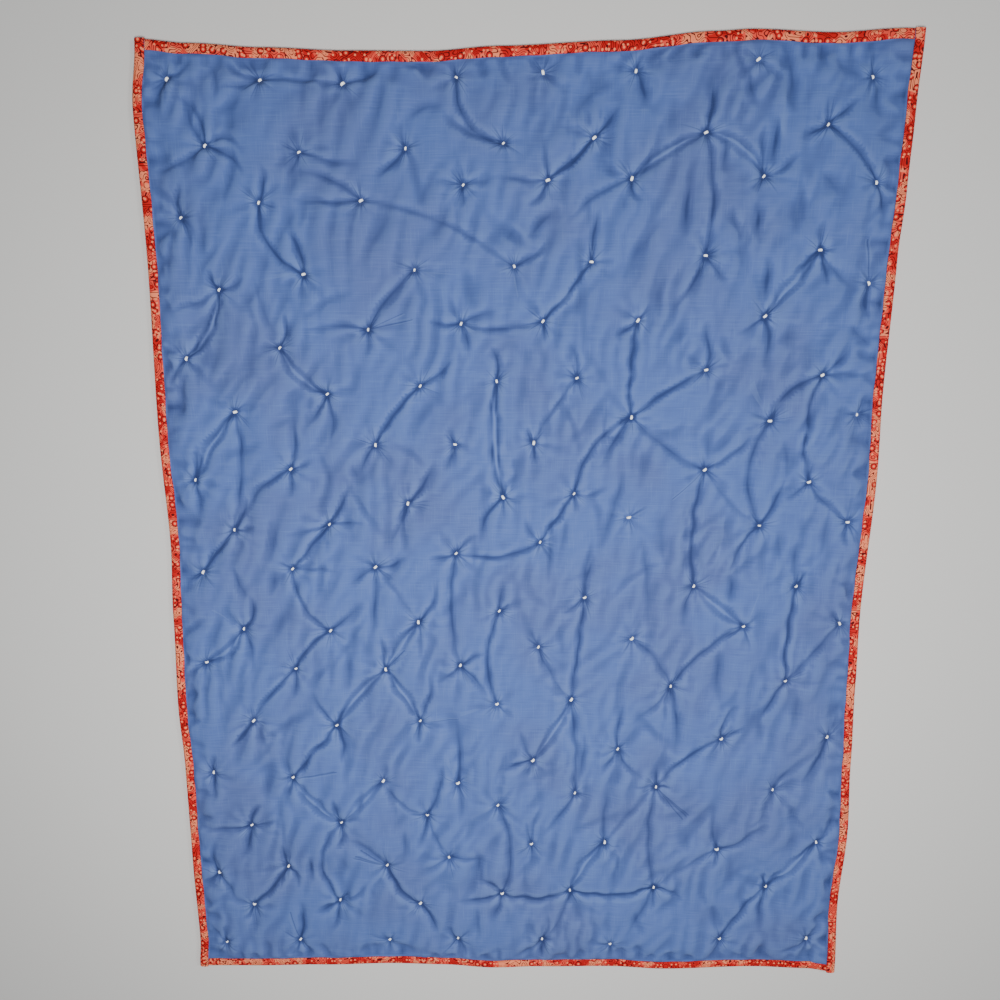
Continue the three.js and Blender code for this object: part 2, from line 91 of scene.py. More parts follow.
# ties from the top row down, each row from the left: place right of and above the middle, in mm
TIE_ROWS = [
    [(-410, 562), (-302, 560), (-207, 556), (-76, 562), (23, 567), (129, 568), (266, 578), (397, 560)],
    [(-370, 489), (-261, 482), (-136, 486), (-22, 491), (83, 496), (212, 502), (351, 510)],
    [(-405, 409), (-311, 426), (-190, 428), (-69, 445), (30, 450), (128, 452), (281, 454), (410, 446)],
    [(-365, 326), (-262, 344), (-128, 349), (-9, 353), (83, 358), (218, 365), (352, 371)],
    [(-410, 244), (-295, 257), (-186, 279), (-73, 286), (26, 289), (140, 290), (292, 295), (412, 333)],
    [(-354, 179), (-239, 201), (-124, 211), (-30, 217), (68, 221), (225, 231), (365, 225)],
    [(-410, 93), (-289, 107), (-181, 138), (-82, 139), (16, 141), (136, 173), (306, 169), (411, 177)],
    [(-364, 29), (-243, 36), (-142, 64), (-22, 72), (67, 77), (229, 108), (359, 93)],
    [(-409, -28), (-293, -23), (-186, -20), (-82, -1), (25, 14), (136, 48), (301, 37), (411, 42)],
    [(-360, -104), (-247, -106), (-132, -94), (-27, -78), (83, -59), (222, -43), (352, -42)],
    [(-413, -151), (-295, -159), (-176, -159), (-78, -153), (24, -127), (145, -114), (288, -96), (411, -92)],
    [(-355, -233), (-244, -239), (-132, -231), (-30, -206), (68, -200), (198, -180), (346, -170)],
    [(-414, -310), (-306, -315), (-184, -320), (-83, -322), (18, -287), (131, -270), (268, -254),
     (407, -250)],
    [(-367, -388), (-243, -382), (-125, -370), (-29, -354), (75, -335), (184, -325), (340, -327)],
    [(-416, -461), (-319, -450), (-182, -447), (-96, -433), (17, -412), (117, -408), (270, -416),
     (404, -405)],
    [(-370, -510), (-249, -502), (-137, -505), (-23, -489), (71, -483), (186, -476), (340, -473)],
    [(-412, -570), (-308, -566), (-181, -563), (-85, -560), (33, -560), (128, -563), (281, -556),
     (400, -552)],
]
# staggered: odd rows hold the odd columns and even rows the even ones
TIES = {(row, 2 - row % 2 + 2 * k): np.array(place) * MM
        for row, places in enumerate(TIE_ROWS, 1)
        for k, place in enumerate(places)}

# folds from tie to tie: row and column of each, bow to the left of the run, depth, half width, strands
LINKS = [
    (1, 3, 1, 5, 1, 2.0, 3.4, 1), (1, 7, 2, 8, -20, 3.2, 3.6, 1), (2, 10, 3, 9, 2, 5.6, 3.6, 1),
    (3, 11, 2, 12, 5, 2.6, 3.4, 2), (2, 12, 3, 13, 10, 2.6, 3.4, 2), (2, 12, 4, 12, 8, 3.4, 4.4, 1),
    (2, 14, 3, 15, 5, 3.2, 3.6, 1), (3, 3, 4, 4, -17, 4.0, 4.0, 1), (3, 5, 4, 8, 13, 1.6, 4.0, 1),
    (4, 2, 5, 1, 10, 4.4, 3.6, 2), (4, 6, 5, 5, -4, 3.8, 4.2, 1), (4, 10, 5, 9, 1, 4.8, 3.4, 1),
    (4, 14, 5, 13, 0, 4.2, 3.6, 2), (5, 3, 6, 4, -8, 3.2, 3.6, 2), (5, 7, 5, 9, -8, 2.6, 3.2, 1),
    (5, 11, 7, 11, -5, 3.6, 3.4, 1), (7, 11, 6, 12, 4, 3.4, 3.8, 1), (7, 11, 8, 10, -16, 3.8, 3.6, 1),
    (8, 10, 9, 9, 0, 4.8, 3.4, 1), (6, 8, 8, 8, -7, 4.0, 3.4, 2), (6, 6, 7, 5, -4, 4.4, 3.4, 1),
    (6, 10, 7, 9, -3, 3.0, 4.6, 1), (6, 2, 7, 1, -4, 4.0, 3.4, 2), (6, 2, 8, 2, 8, 2.4, 4.4, 1),
    (8, 2, 9, 1, 0, 5.0, 3.4, 1), (8, 4, 9, 3, 0, 5.2, 3.4, 1), (6, 14, 7, 13, -12, 3.4, 5.4, 1),
    (6, 14, 8, 14, -13, 4.2, 4.4, 1), (7, 13, 9, 13, -21, 3.2, 6.4, 1), (8, 12, 10, 12, -9, 4.2, 5.6, 1),
    (8, 12, 7, 11, 6, 2.2, 6.4, 1), (8, 12, 9, 13, -6, 1.0, 5.4, 1), (8, 14, 9, 15, -5, 3.0, 3.8, 1),
    (9, 7, 9, 9, -11, 2.8, 3.4, 1), (9, 7, 11, 7, -9, 2.8, 5.4, 1), (9, 3, 10, 4, -12, 2.8, 3.6, 1),
    (9, 5, 10, 6, 2, 1.0, 4.0, 1), (10, 4, 11, 3, -7, 4.2, 3.6, 1), (10, 6, 11, 5, -2, 4.2, 3.4, 2),
    (10, 2, 11, 1, 6, 3.0, 3.4, 2), (10, 8, 12, 8, -14, 3.4, 3.6, 1), (10, 10, 12, 10, 0, 3.4, 3.8, 1),
    (10, 14, 12, 14, -5, 4.2, 3.6, 1), (11, 15, 12, 14, 0, 2.6, 4.2, 1), (11, 3, 12, 2, -4, 3.0, 3.6, 1),
    (11, 5, 12, 4, -5, 3.6, 3.6, 2), (11, 5, 12, 6, 2, 2.8, 3.4, 2), (11, 13, 12, 12, -10, 3.2, 4.4, 1),
    (10, 12, 11, 13, -1, 2.4, 3.4, 2), (11, 11, 12, 12, 8, 2.4, 6.4, 1), (11, 9, 12, 10, -5, 2.0, 5.0, 1),
    (12, 4, 13, 3, 0, 4.4, 3.8, 1), (12, 10, 13, 9, 2, 3.4, 3.4, 2), (12, 10, 14, 10, 3, 3.2, 5.4, 1),
    (13, 13, 14, 12, -8, 3.4, 3.8, 1), (13, 5, 14, 4, 0, 1.8, 3.4, 2),
    (13, 3, 14, 4, -6, 2.4, 3.6, 2), (14, 4, 16, 4, -26, 3.2, 3.8, 1), (13, 5, 14, 6, -8, 1.4, 3.6, 1),
    (14, 6, 15, 7, -3, 1.4, 4.0, 1), (14, 8, 16, 8, 15, 3.0, 5.4, 1), (14, 12, 16, 12, -9, 2.8, 6.4, 1),
    (14, 12, 15, 11, -3, 1.5, 3.6, 1), (15, 3, 16, 2, 2, 4.6, 3.8, 1), (15, 5, 16, 6, -7, 5.6, 3.8, 1),
    (15, 11, 16, 10, -6, 3.2, 3.8, 2), (15, 13, 16, 12, -5, 1.4, 5.4, 1), (15, 15, 16, 14, -2, 3.4, 3.6, 2),
    (16, 8, 16, 10, -9, 5.4, 3.4, 1), (16, 10, 16, 12, -8, 5.6, 3.4, 1), (16, 14, 17, 13, -5, 3.6, 3.8, 1),
    (16, 10, 17, 9, 6, 2.6, 5.0, 1),
]

# folds that leave a tie and die out: row, column, reach right and up, bow, depth, half width
RUNS = [
    (1, 1, 32, 20, -3, 2.2, 3.4), (1, 1, -18, -24, 2, 2.4, 3.4), (1, 3, -43, 25, 5, 2.4, 3.4),
    (1, 3, -48, -10, 2, 2.2, 3.4), (1, 5, -9, 24, 0, 2.2, 3.2), (1, 5, 48, 20, -5, 2.4, 3.4),
    (1, 7, -7, 20, 0, 2.4, 3.2), (1, 11, 12, 24, 2, 2.0, 3.2), (1, 11, 8, -42, 5, 2.0, 5.0),
    (1, 15, -4, 36, 0, 1.8, 3.4), (1, 15, 8, -44, 4, 2.2, 5.0), (2, 2, -72, -30, 6, 1.8, 3.6),
    (2, 2, -30, 55, -10, 2.6, 4.2), (2, 2, -18, 60, 8, 2.4, 4.2), (2, 2, 46, -8, 12, 2.4, 3.6),
    (2, 2, 45, -32, 6, 2.2, 3.6), (2, 4, 72, -14, -3, 2.0, 3.6), (2, 4, -15, -24, 3, 2.0, 3.4),
    (2, 6, -34, -32, 2, 3.6, 3.6), (2, 6, 0, 32, 4, 2.2, 3.8), (2, 8, -73, 39, 8, 2.4, 4.0),
    (2, 10, 27, 36, -3, 3.2, 3.6), (2, 12, 4, 58, -3, 3.2, 3.8), (2, 14, 36, 26, 2, 2.4, 3.4),
    (2, 14, -28, -13, 2, 2.2, 3.6), (3, 1, 5, 38, 4, 2.6, 3.4), (3, 1, 9, -42, 5, 2.8, 3.6),
    (3, 3, 5, 42, -5, 2.8, 3.4), (3, 5, -82, 2, 3, 2.2, 3.4), (3, 5, -82, 34, -8, 2.0, 3.8),
    (3, 7, -11, 20, 2, 2.0, 3.2), (3, 7, 4, -25, -3, 1.8, 3.2), (3, 9, -5, 42, 0, 1.9, 3.2),
    (3, 9, -60, 8, 4, 1.8, 3.4), (3, 9, -24, -30, 3, 3.6, 3.6), (3, 11, -74, -48, -6, 2.0, 3.8),
    (3, 11, 16, -26, -8, 2.4, 3.4), (3, 13, -4, 56, 2, 3.0, 4.6), (3, 13, 42, 26, -4, 2.2, 3.6),
    (3, 13, -14, -16, 2, 2.4, 4.0), (3, 15, 10, -40, 3, 3.2, 3.6), (4, 2, -4, 24, 6, 2.6, 3.4),
    (4, 2, 34, 16, -4, 2.2, 3.4), (4, 2, -62, -28, 3, 2.2, 3.6), (4, 4, -20, 54, -6, 3.6, 3.8),
    (4, 4, -9, -28, 2, 2.0, 3.4), (4, 8, 42, 34, -4, 2.4, 4.0), (4, 10, 9, 60, 3, 3.2, 4.0),
    (4, 12, -38, -65, 4, 3.6, 4.2), (4, 12, 28, -30, -3, 1.9, 3.6), (4, 14, 0, 32, 2, 2.6, 4.4),
    (4, 14, 9, -42, 2, 3.6, 3.6), (4, 14, 46, -46, -4, 2.2, 5.0), (4, 14, -20, -12, 0, 2.2, 3.8),
    (5, 1, -24, -38, -3, 3.2, 3.6), (5, 3, 12, 44, -3, 2.8, 3.4), (5, 5, -80, -2, -6, 2.0, 3.6),
    (5, 5, -5, -32, 2, 2.0, 4.2), (5, 7, -42, 2, 2, 2.2, 3.2), (5, 7, -12, 32, 2, 2.0, 3.4),
    (5, 7, 42, 13, 3, 2.2, 3.2), (5, 7, 10, -36, 2, 2.6, 3.6), (5, 9, 3, -18, 0, 2.2, 3.2),
    (5, 11, -28, -18, 3, 2.8, 3.4), (5, 11, 12, 24, -2, 2.0, 3.4), (5, 13, -38, -22, 3, 2.0, 5.4),
    (5, 13, 3, -62, 4, 3.4, 6.4), (5, 15, 4, -46, -3, 3.0, 3.8), (6, 4, -28, -42, 2, 2.2, 3.8),
    (6, 4, 3, -62, 4, 2.6, 4.4), (6, 6, 42, 36, -4, 3.0, 3.6), (6, 8, -10, 44, -6, 3.0, 3.8),
    (6, 10, -12, 46, -4, 2.0, 3.6), (6, 10, -15, 9, 0, 2.4, 3.4), (6, 12, -8, 58, -6, 3.0, 5.4),
    (6, 14, 60, -1, 2, 1.8, 3.4), (6, 14, 30, 34, -3, 2.0, 4.0), (7, 1, 12, 48, 3, 3.6, 3.4),
    (7, 1, 2, -44, 3, 2.4, 3.6), (7, 3, 8, 64, -4, 3.2, 3.6), (7, 3, 2, -34, 0, 2.4, 3.4),
    (7, 3, -62, -58, -8, 3.2, 3.8), (7, 3, 28, 11, -2, 1.9, 3.2), (7, 5, -18, -48, -6, 2.6, 6.0),
    (7, 7, -6, 22, 2, 2.0, 3.4), (7, 7, -14, -34, 2, 2.0, 4.0), (7, 9, -9, 20, 2, 2.2, 3.2),
    (7, 9, 1, -24, 0, 2.2, 3.2), (7, 11, -38, -64, -3, 3.2, 3.6), (7, 11, -15, -7, 0, 4.2, 3.6),
    (7, 13, 17, 22, 2, 2.4, 3.6), (8, 2, 14, 44, -6, 3.8, 3.6), (8, 2, 28, 5, -2, 2.4, 3.4),
    (8, 4, 28, 52, -3, 4.4, 3.6), (8, 4, 46, 1, 2, 1.8, 3.2), (8, 4, -54, -12, 2, 1.8, 3.4),
    (8, 6, 34, 54, -4, 4.2, 3.6), (8, 6, -24, -52, 2, 2.8, 3.6), (8, 6, -4, -64, -4, 2.8, 4.8),
    (8, 8, -28, -60, -8, 3.4, 4.4), (8, 8, 13, 28, 2, 3.0, 3.4), (8, 8, 20, -11, 2, 1.8, 3.2),
    (8, 10, 40, 10, -6, 1.9, 3.4), (8, 10, 2, -24, 0, 2.2, 3.4), (8, 12, 62, 48, -4, 2.4, 4.0),
    (8, 14, -30, -22, 2, 2.6, 3.6), (8, 14, 4, 26, 2, 2.0, 3.4), (9, 1, -26, -28, -3, 3.0, 3.6),
    (9, 3, 62, -2, 2, 1.6, 3.2), (9, 5, -32, -19, 2, 2.2, 3.4), (9, 5, 40, 16, -5, 3.0, 3.8),
    (9, 5, -9, -98, 3, 2.8, 5.4), (9, 7, 28, 25, 2, 2.8, 3.4), (9, 7, -36, -6, 3, 2.2, 3.4),
    (9, 9, -20, 32, 4, 2.0, 3.8), (9, 13, 28, 64, -3, 3.2, 4.0), (9, 13, -36, -58, -5, 3.4, 4.0),
    (9, 15, -2, -30, -3, 2.2, 3.8), (10, 2, 12, 46, -8, 4.2, 3.6), (10, 2, 9, -64, 5, 2.2, 5.4),
    (10, 4, 44, 42, -3, 2.2, 6.4), (10, 6, 26, 60, -6, 3.2, 3.8), (10, 6, 2, -54, 3, 2.2, 4.4),
    (10, 8, 13, 14, -2, 2.6, 3.4), (10, 8, 8, 42, 3, 2.2, 4.0), (10, 10, 10, 82, 4, 3.0, 5.4),
    (10, 10, -30, -21, 2, 2.0, 3.4), (10, 12, -12, -54, -4, 2.4, 4.8), (10, 14, 7, 24, -3, 3.4, 3.6),
    (10, 14, -2, 64, 3, 2.4, 6.4), (11, 1, -28, -28, -4, 2.4, 3.6), (11, 3, -4, -38, 2, 3.0, 3.8),
    (11, 5, -2, 46, 2, 3.8, 3.4), (11, 7, 36, 19, 3, 2.4, 3.4), (11, 7, -30, -22, 2, 2.4, 3.4),
    (11, 7, 36, -42, 3, 2.0, 3.4), (11, 9, -11, 28, 3, 2.4, 3.6), (11, 15, -11, 20, 2, 2.2, 3.6),
    (11, 15, 14, -9, 2, 2.2, 3.4), (12, 2, -32, -38, 2, 4.2, 3.6), (12, 4, -32, 50, 3, 2.4, 3.8),
    (12, 4, 4, -54, 6, 4.2, 3.8), (12, 6, 14, 68, -6, 3.2, 3.8), (12, 6, -4, -30, 0, 2.4, 3.4),
    (12, 12, -10, -24, 2, 3.6, 3.6), (12, 12, -50, -52, 3, 1.9, 3.6), (12, 12, 10, -84, 4, 2.2, 6.4),
    (12, 14, -32, -72, -4, 3.2, 4.0), (13, 1, 6, 28, 2, 2.4, 3.4), (13, 1, 2, -34, 0, 2.4, 3.4),
    (13, 3, -11, -26, 2, 2.6, 3.6), (13, 7, -3, 104, -4, 3.2, 6.0), (13, 7, 4, -54, 3, 2.0, 4.4),
    (13, 9, -40, -14, -3, 2.6, 3.4), (13, 9, -15, -22, 2, 2.4, 3.4), (13, 9, -18, 48, 3, 1.9, 3.8),
    (13, 11, -25, -36, 3, 2.6, 3.6), (13, 11, 8, 72, 4, 3.0, 4.6), (13, 11, 36, -40, -6, 2.2, 3.8),
    (13, 13, 32, 19, 2, 2.6, 3.6),
    (13, 13, 20, 50, 10, 3.0, 3.8), (13, 15, 12, 50, -3, 2.4, 4.4), (13, 15, -30, -66, 4, 3.2, 3.8),
    (14, 2, 18, 34, 5, 4.2, 4.0), (14, 2, -14, -46, 3, 3.2, 3.8), (14, 2, -68, -5, 2, 1.9, 3.2),
    (14, 2, 38, 13, -2, 2.2, 3.8), (14, 4, -8, 36, 2, 4.4, 3.8), (14, 4, -6, -36, 4, 4.2, 4.0),
    (14, 4, 30, 9, 2, 2.2, 3.4), (14, 6, 22, 82, -6, 3.0, 4.4), (14, 6, -15, -48, 3, 2.2, 5.0),
    (14, 10, -44, -60, 3, 3.0, 4.2), (14, 12, 1, 28, 0, 2.6, 3.8), (14, 12, 18, 4, 0, 3.2, 3.4),
    (14, 12, 24, -30, -3, 2.2, 4.0), (14, 14, -34, -58, 7, 1.6, 4.0), (14, 14, 24, 32, 3, 2.2, 4.0),
    (15, 1, 0, 52, 7, 2.4, 3.8), (15, 1, -25, -19, 2, 3.0, 3.6), (15, 1, 24, -42, 3, 1.9, 3.4),
    (15, 3, -2, 38, 4, 3.0, 3.6), (15, 3, -12, -34, -2, 2.4, 3.6), (15, 3, 17, -30, 2, 2.2, 3.6),
    (15, 5, -56, 44, -5, 2.2, 5.4), (15, 7, 48, -5, 2, 1.9, 3.4), (15, 9, -5, 36, 2, 2.2, 3.8),
    (15, 9, 14, 64, 4, 2.2, 4.0), (15, 9, -3, -32, 2, 2.2, 4.0), (15, 11, 8, 90, 6, 2.6, 6.4),
    (15, 13, -8, 70, 4, 2.4, 6.4), (15, 13, -8, -28, 2, 2.4, 4.0), (15, 13, 68, 46, -6, 2.2, 4.4),
    (15, 15, 20, 60, -6, 2.6, 4.0), (16, 2, -15, -22, 2, 2.2, 3.4), (16, 2, 7, -19, 2, 2.0, 3.4),
    (16, 4, 15, 15, 0, 3.0, 3.6), (16, 4, -32, -19, 2, 2.2, 3.6), (16, 4, -15, -46, 3, 2.8, 3.8),
    (16, 4, 48, 42, -7, 2.0, 4.2), (16, 6, 26, -44, 3, 3.8, 3.8), (16, 8, -32, 22, -5, 3.6, 3.8),
    (16, 8, -62, -9, 3, 3.0, 3.6), (16, 8, -18, -42, 3, 2.4, 4.2), (16, 10, -1, -20, 0, 4.0, 3.4),
    (16, 10, 9, -20, 0, 3.6, 3.4), (16, 12, 40, -17, 5, 3.0, 3.6), (16, 12, -4, -36, 2, 2.4, 4.0),
    (16, 12, -40, -78, 3, 2.2, 5.4), (16, 14, -4, 22, 2, 3.4, 3.8), (16, 14, -5, -68, -4, 2.6, 4.4),
    (17, 1, 2, 32, 2, 2.0, 3.4), (17, 1, -28, 42, 2, 1.8, 3.4), (17, 3, -15, -28, 2, 2.6, 3.4),
    (17, 3, 17, -26, 2, 2.6, 3.4), (17, 3, 4, 66, -4, 3.2, 4.2), (17, 5, 0, -28, 0, 2.2, 3.4),
    (17, 7, -11, 24, 2, 2.2, 3.6), (17, 7, 12, -32, 2, 2.4, 3.4), (17, 9, -2, -28, 0, 2.6, 3.4),
    (17, 9, 9, 42, -3, 2.6, 4.0), (17, 9, -48, -31, 2, 2.0, 3.4), (17, 11, 6, -24, 0, 2.0, 3.4),
    (17, 13, -15, -32, 2, 2.6, 4.0), (17, 15, -42, -25, 3, 2.2, 4.4), (17, 15, 19, 24, 2, 2.0, 4.0),
]

# free soft folds, in mm from the middle: both ends, bow, depth (a ridge where less than 0), half width
SOFT_FOLDS = [
    (-362, 580, -355, 540, 6, 2.4, 4.2), (-322, 345, -300, 272, -3, 2.4, 5.0),
    (-138, 512, -85, 530, 8, 1.8, 5.4),
    (58, 512, 116, 556, 12, 3.6, 10), (0, 384, 42, 426, -5, 3.8, 8), (240, 598, 262, 553, -5, 3.0, 4.6),
    (300, 596, 308, 520, 2, 3.2, 7), (288, 372, 290, 300, 3, 4.2, 8), (388, 292, 432, 254, -4, 2.2, 6),
    (345, 582, 402, 540, 4, 2.0, 8), (130, 122, 95, 0, 5, 3.2, 6), (95, 0, 84, -52, -2, 4.2, 5),
    (150, 34, 166, -112, 4, 2.8, 7), (265, -20, 268, -64, 3, 2.8, 7), (260, -118, 262, -202, -4, 3.2, 7),
    (86, -238, 77, -330, 3, 3.0, 6), (-157, -384, -160, -442, 2, 2.6, 5),
    (-287, -428, -286, -472, 0, 2.6, 3.6),
    (-57, -508, -60, -566, 2, 2.4, 4.4), (265, -498, 272, -542, 3, 2.4, 7), (320, 152, 331, 88, 4, 2.0, 7),
    (382, 72, 375, -22, 4, 2.2, 7), (255, 60, 244, -34, 2, -2.2, 8), (298, 560, 296, 468, 0, -2.2, 8),
    (-348, -62, -368, -18, 5, 3.4, 4), (-20, 380, -8, 398, 0, 2.4, 9), (330, -452, 318, -478, 2, 2.0, 8),
    (184, -20, 178, 60, 3, 2.0, 8), (40, 60, 34, -40, 2, 3.8, 6), (58, 60, 44, -20, 3, 1.8, 6),
    (104, 200, 96, 110, 3, 2.0, 6), (-8, 130, -14, 60, 2, 1.8, 6), (340, 460, 366, 430, 4, 2.2, 9),
    (193, 447, 190, 386, 2, 4.0, 6), (318, 40, 332, -20, 2, 2.0, 8), (206, -210, 208, -280, 0, 2.4, 7),
    (-228, -110, -226, -200, 3, 1.8, 9), (-215, 120, -205, 84, 3, 2.0, 7), (362, -180, 356, -240, 3, 2.0, 8),
    (257, 571, 268, 531, -3, 3.0, 5), (290, 524, 288, 456, 3, 4.2, 6), (234, 499, 230, 456, 3, 3.6, 6),
    (245, 425, 257, 380, -2, 3.6, 5.4), (273, 429, 276, 378, 2, 3.8, 5.4), (133, 579, 148, 524, -3, 3.0, 6),
]

STRAND_GAP = 9 * MM
STRAND_WIDER = 0.2
RUN_DEEPER = 1.22
FOLD_STEPS = 14


def bowed_line(start, end, bow):
    """Straight run from start to end, pushed to its left by a parabola of height bow."""
    share = np.linspace(0, 1, FOLD_STEPS + 1)[:, None]
    run = end - start
    side = np.array([-run[1], run[0]]) / np.hypot(*run)
    return start + run * share + side * (4 * share * (1 - share) * bow)


def beside_line(x, y, line):
    """Each point's shortest distance to the line, its sign telling the side, and its share along it."""
    a, run = line[:-1], np.diff(line, axis=0)
    dx = x[:, None] - a[:, 0]
    dy = y[:, None] - a[:, 1]
    share = np.clip((dx * run[:, 0] + dy * run[:, 1]) / (run ** 2).sum(1), 0, 1)
    far = np.hypot(dx - share * run[:, 0], dy - share * run[:, 1])
    near = far.argmin(1)
    rows = np.arange(len(x))
    side = np.sign(run[near, 0] * dy[rows, near] - run[near, 1] * dx[rows, near])
    return side * far[rows, near], (near + share[rows, near]) / len(a)


def ease(value, low, high):
    """Smooth step from 0 at low to 1 at high."""
    share = np.clip((value - low) / (high - low), 0, 1)
    return share * share * (3 - 2 * share)


def fold_list():
    """Every fold as its line, depth, half width, strand offset and whether its far end dies out, or None
    where both ends do."""
    folds = []
    for row, column, row2, column2, bow, depth, half, strands in LINKS:
        line = bowed_line(TIES[row, column], TIES[row2, column2], bow * MM)
        for strand in range(strands):
            offset = (strand - (strands - 1) / 2) * STRAND_GAP
            wider = 1 + STRAND_WIDER * (strands - 1)
            folds.append((line, depth * MM, half * MM * wider, offset, False))
    for row, column, right, up, bow, depth, half in RUNS:
        start = TIES[row, column]
        line = bowed_line(start, start + np.array([right, up]) * MM, bow * MM)
        folds.append((line, RUN_DEEPER * depth * MM, half * MM, 0.0, True))
    for x, y, x2, y2, bow, depth, half in SOFT_FOLDS:
        line = bowed_line(np.array([x, y]) * MM, np.array([x2, y2]) * MM, bow * MM)
        folds.append((line, depth * MM, half * MM, 0.0, None))
    return folds


# short wrinkles: their spread as a share of the cut size, turn's mean and spread in degrees, the rest in mm
STRAYS = 300
STRAY_SPREAD = 0.46
STRAY_TURN = (74, 24)
STRAY_LENGTHS = (40, 110)
STRAY_BOW = 6
STRAY_DEPTHS = (0.7, 2.4)
STRAY_HALVES = (4.5, 10)


def stray_list():
    """Short seeded wrinkles all over, most of them leaning a little to the right, in the folds' form."""
    dice = np.random.default_rng(41)
    strays = []
    for _ in range(STRAYS):
        start = dice.uniform(-STRAY_SPREAD, STRAY_SPREAD, 2) * np.array([WIDTH, LENGTH])
        turn = np.radians(dice.normal(*STRAY_TURN))
        run = dice.uniform(*STRAY_LENGTHS) * MM * np.array([np.cos(turn), np.sin(turn)])
        line = bowed_line(start, start + run, dice.normal(0, STRAY_BOW) * MM)
        depth = dice.uniform(*STRAY_DEPTHS) * MM
        strays.append((line, depth, dice.uniform(*STRAY_HALVES) * MM, 0.0, None))
    return strays


# gathers beside the binding: the pitch's jitter as a share of it, the rest in mm
BINDING_FACE = 12 * MM
GATHER_PITCH = 19 * MM
GATHER_JITTER = 0.4
GATHER_REACHES = (8, 34)
GATHER_SLANT = 9
GATHER_BOW = 2
GATHER_DEPTHS = (0.6, 4.6)
GATHER_HALVES = (4, 7.5)


def gather_list():
    """Small seeded gathers that leave the binding, in the same form as the folds."""
    dice = np.random.default_rng(23)
    gathers = []
    edges = [(True, left_edge, 1), (True, right_edge, -1), (False, bottom_edge, 1), (False, top_edge, -1)]
    for upright, edge, inward in edges:
        half_run = (LENGTH if upright else WIDTH) / 2 - 2 * BINDING_FACE
        for along in np.arange(-half_run, half_run, GATHER_PITCH):
            spot = along + dice.uniform(-GATHER_JITTER, GATHER_JITTER) * GATHER_PITCH
            start = np.array([edge(np.array(spot)) + inward * BINDING_FACE, spot])
            reach = np.array([inward * dice.uniform(*GATHER_REACHES), dice.normal(0, GATHER_SLANT)]) * MM
            turned = slice(None) if upright else slice(None, None, -1)
            line = bowed_line(start[turned], (start + reach)[turned], dice.normal(0, GATHER_BOW) * MM)
            depth = dice.uniform(*GATHER_DEPTHS) * MM
            gathers.append((line, depth, dice.uniform(*GATHER_HALVES) * MM, 0.0, True))
    return gathers


FOLDS = fold_list()
STRAY_FOLDS = stray_list()
GATHERS = gather_list()
WAVES_LIMIT = 1.5


def waves(x, y, seed, count, shortest, longest, lean=0.0, spread=1.6):
    """Sum of seeded sine waves of these lengths in mm, running within a spread of the lean, near -1 to 1."""
    dice = np.random.default_rng(seed)
    total = np.zeros_like(x)
    for _ in range(count):
        angle = lean + dice.normal(0, spread)
        turn = 2 * np.pi / (dice.uniform(shortest, longest) * MM)
        total += np.sin(turn * (x * np.cos(angle) + y * np.sin(angle)) + dice.uniform(0, 2 * np.pi))
    return total * np.sqrt(2 / count) / WAVES_LIMIT


def nearest_tie(x, y):
    """Place of the nearest tie."""
    ties = np.array(list(TIES.values()))
    return ties[np.argmin([np.hypot(x - tie[0], y - tie[1]) for tie in ties], axis=0)]


def from_tie(x, y):
    """Distance to the nearest tie."""
    tie = nearest_tie(x, y)
    return np.hypot(x - tie[..., 0], y - tie[..., 1])


# a fold's form: factors on its depth and half width, the half widths that count as narrow and wide, places
# across it in its half widths, and how it fades in shares of its run
FOLD_DEPTH = 1.7
FOLD_SHARP = 0.5
FOLD_SPREAD = 0.36
NARROW_HALF = 4 * MM
WIDE_HALF = 8 * MM
WIDE_DEEPER = 1.1
FOLD_REACH = 12
TROUGH_ROUND = 0.3
SKIRT_DEPTH = 0.2
SKIRT_WIDTH = 4
RIDGE = 0.09
RIDGE_PLACE = 4.2
RIDGE_WIDTH = 2.2
FADE_FROM = 0.5
FADE_TO = 1.1
FADE_WIDER = 0.5
WIDER_FROM = 0.1


def creases(x, y, folds):
    """Sum over the folds of a sharp-bottomed trough in a wide one, with low ridges beside it."""
    depth_here = np.zeros_like(x)
    for line, depth, half, offset, dies in folds:
        wide = ease(half, NARROW_HALF, WIDE_HALF)
        half = half * (FOLD_SHARP + FOLD_SPREAD * wide)
        depth = depth * (1 + WIDE_DEEPER * wide)
        low = line.min(0) - FOLD_REACH * half
        high = line.max(0) + FOLD_REACH * half
        inside = np.flatnonzero((x > low[0]) & (x < high[0]) & (y > low[1]) & (y < high[1]))
        side, share = beside_line(x[inside], y[inside], line)
        across = (side - offset * np.sin(np.pi * share)) / half
        taper = ease(share, 0, FADE_FROM) if dies is None else np.ones_like(share)
        if dies is not False:
            taper = taper * (1 - ease(share, FADE_FROM, FADE_TO))
            across = across / (1 + FADE_WIDER * ease(share, WIDER_FROM, 1))
        trough = np.exp(TROUGH_ROUND - np.sqrt(across ** 2 + TROUGH_ROUND ** 2))
        trough += SKIRT_DEPTH * np.exp(-(across / SKIRT_WIDTH) ** 2)
        ridges = RIDGE * np.exp(-((np.abs(across) - RIDGE_PLACE) / RIDGE_WIDTH) ** 2)
        depth_here[inside] += depth * taper * (trough - ridges)
    return depth_here


STRENGTH_SWING = 0.18
STRENGTH_RANGE = (0.75, 1.25)
FOLD_WANDER = 1.2 * MM
WANDER_FROM = 4 * MM
WANDER_FULL = 22 * MM


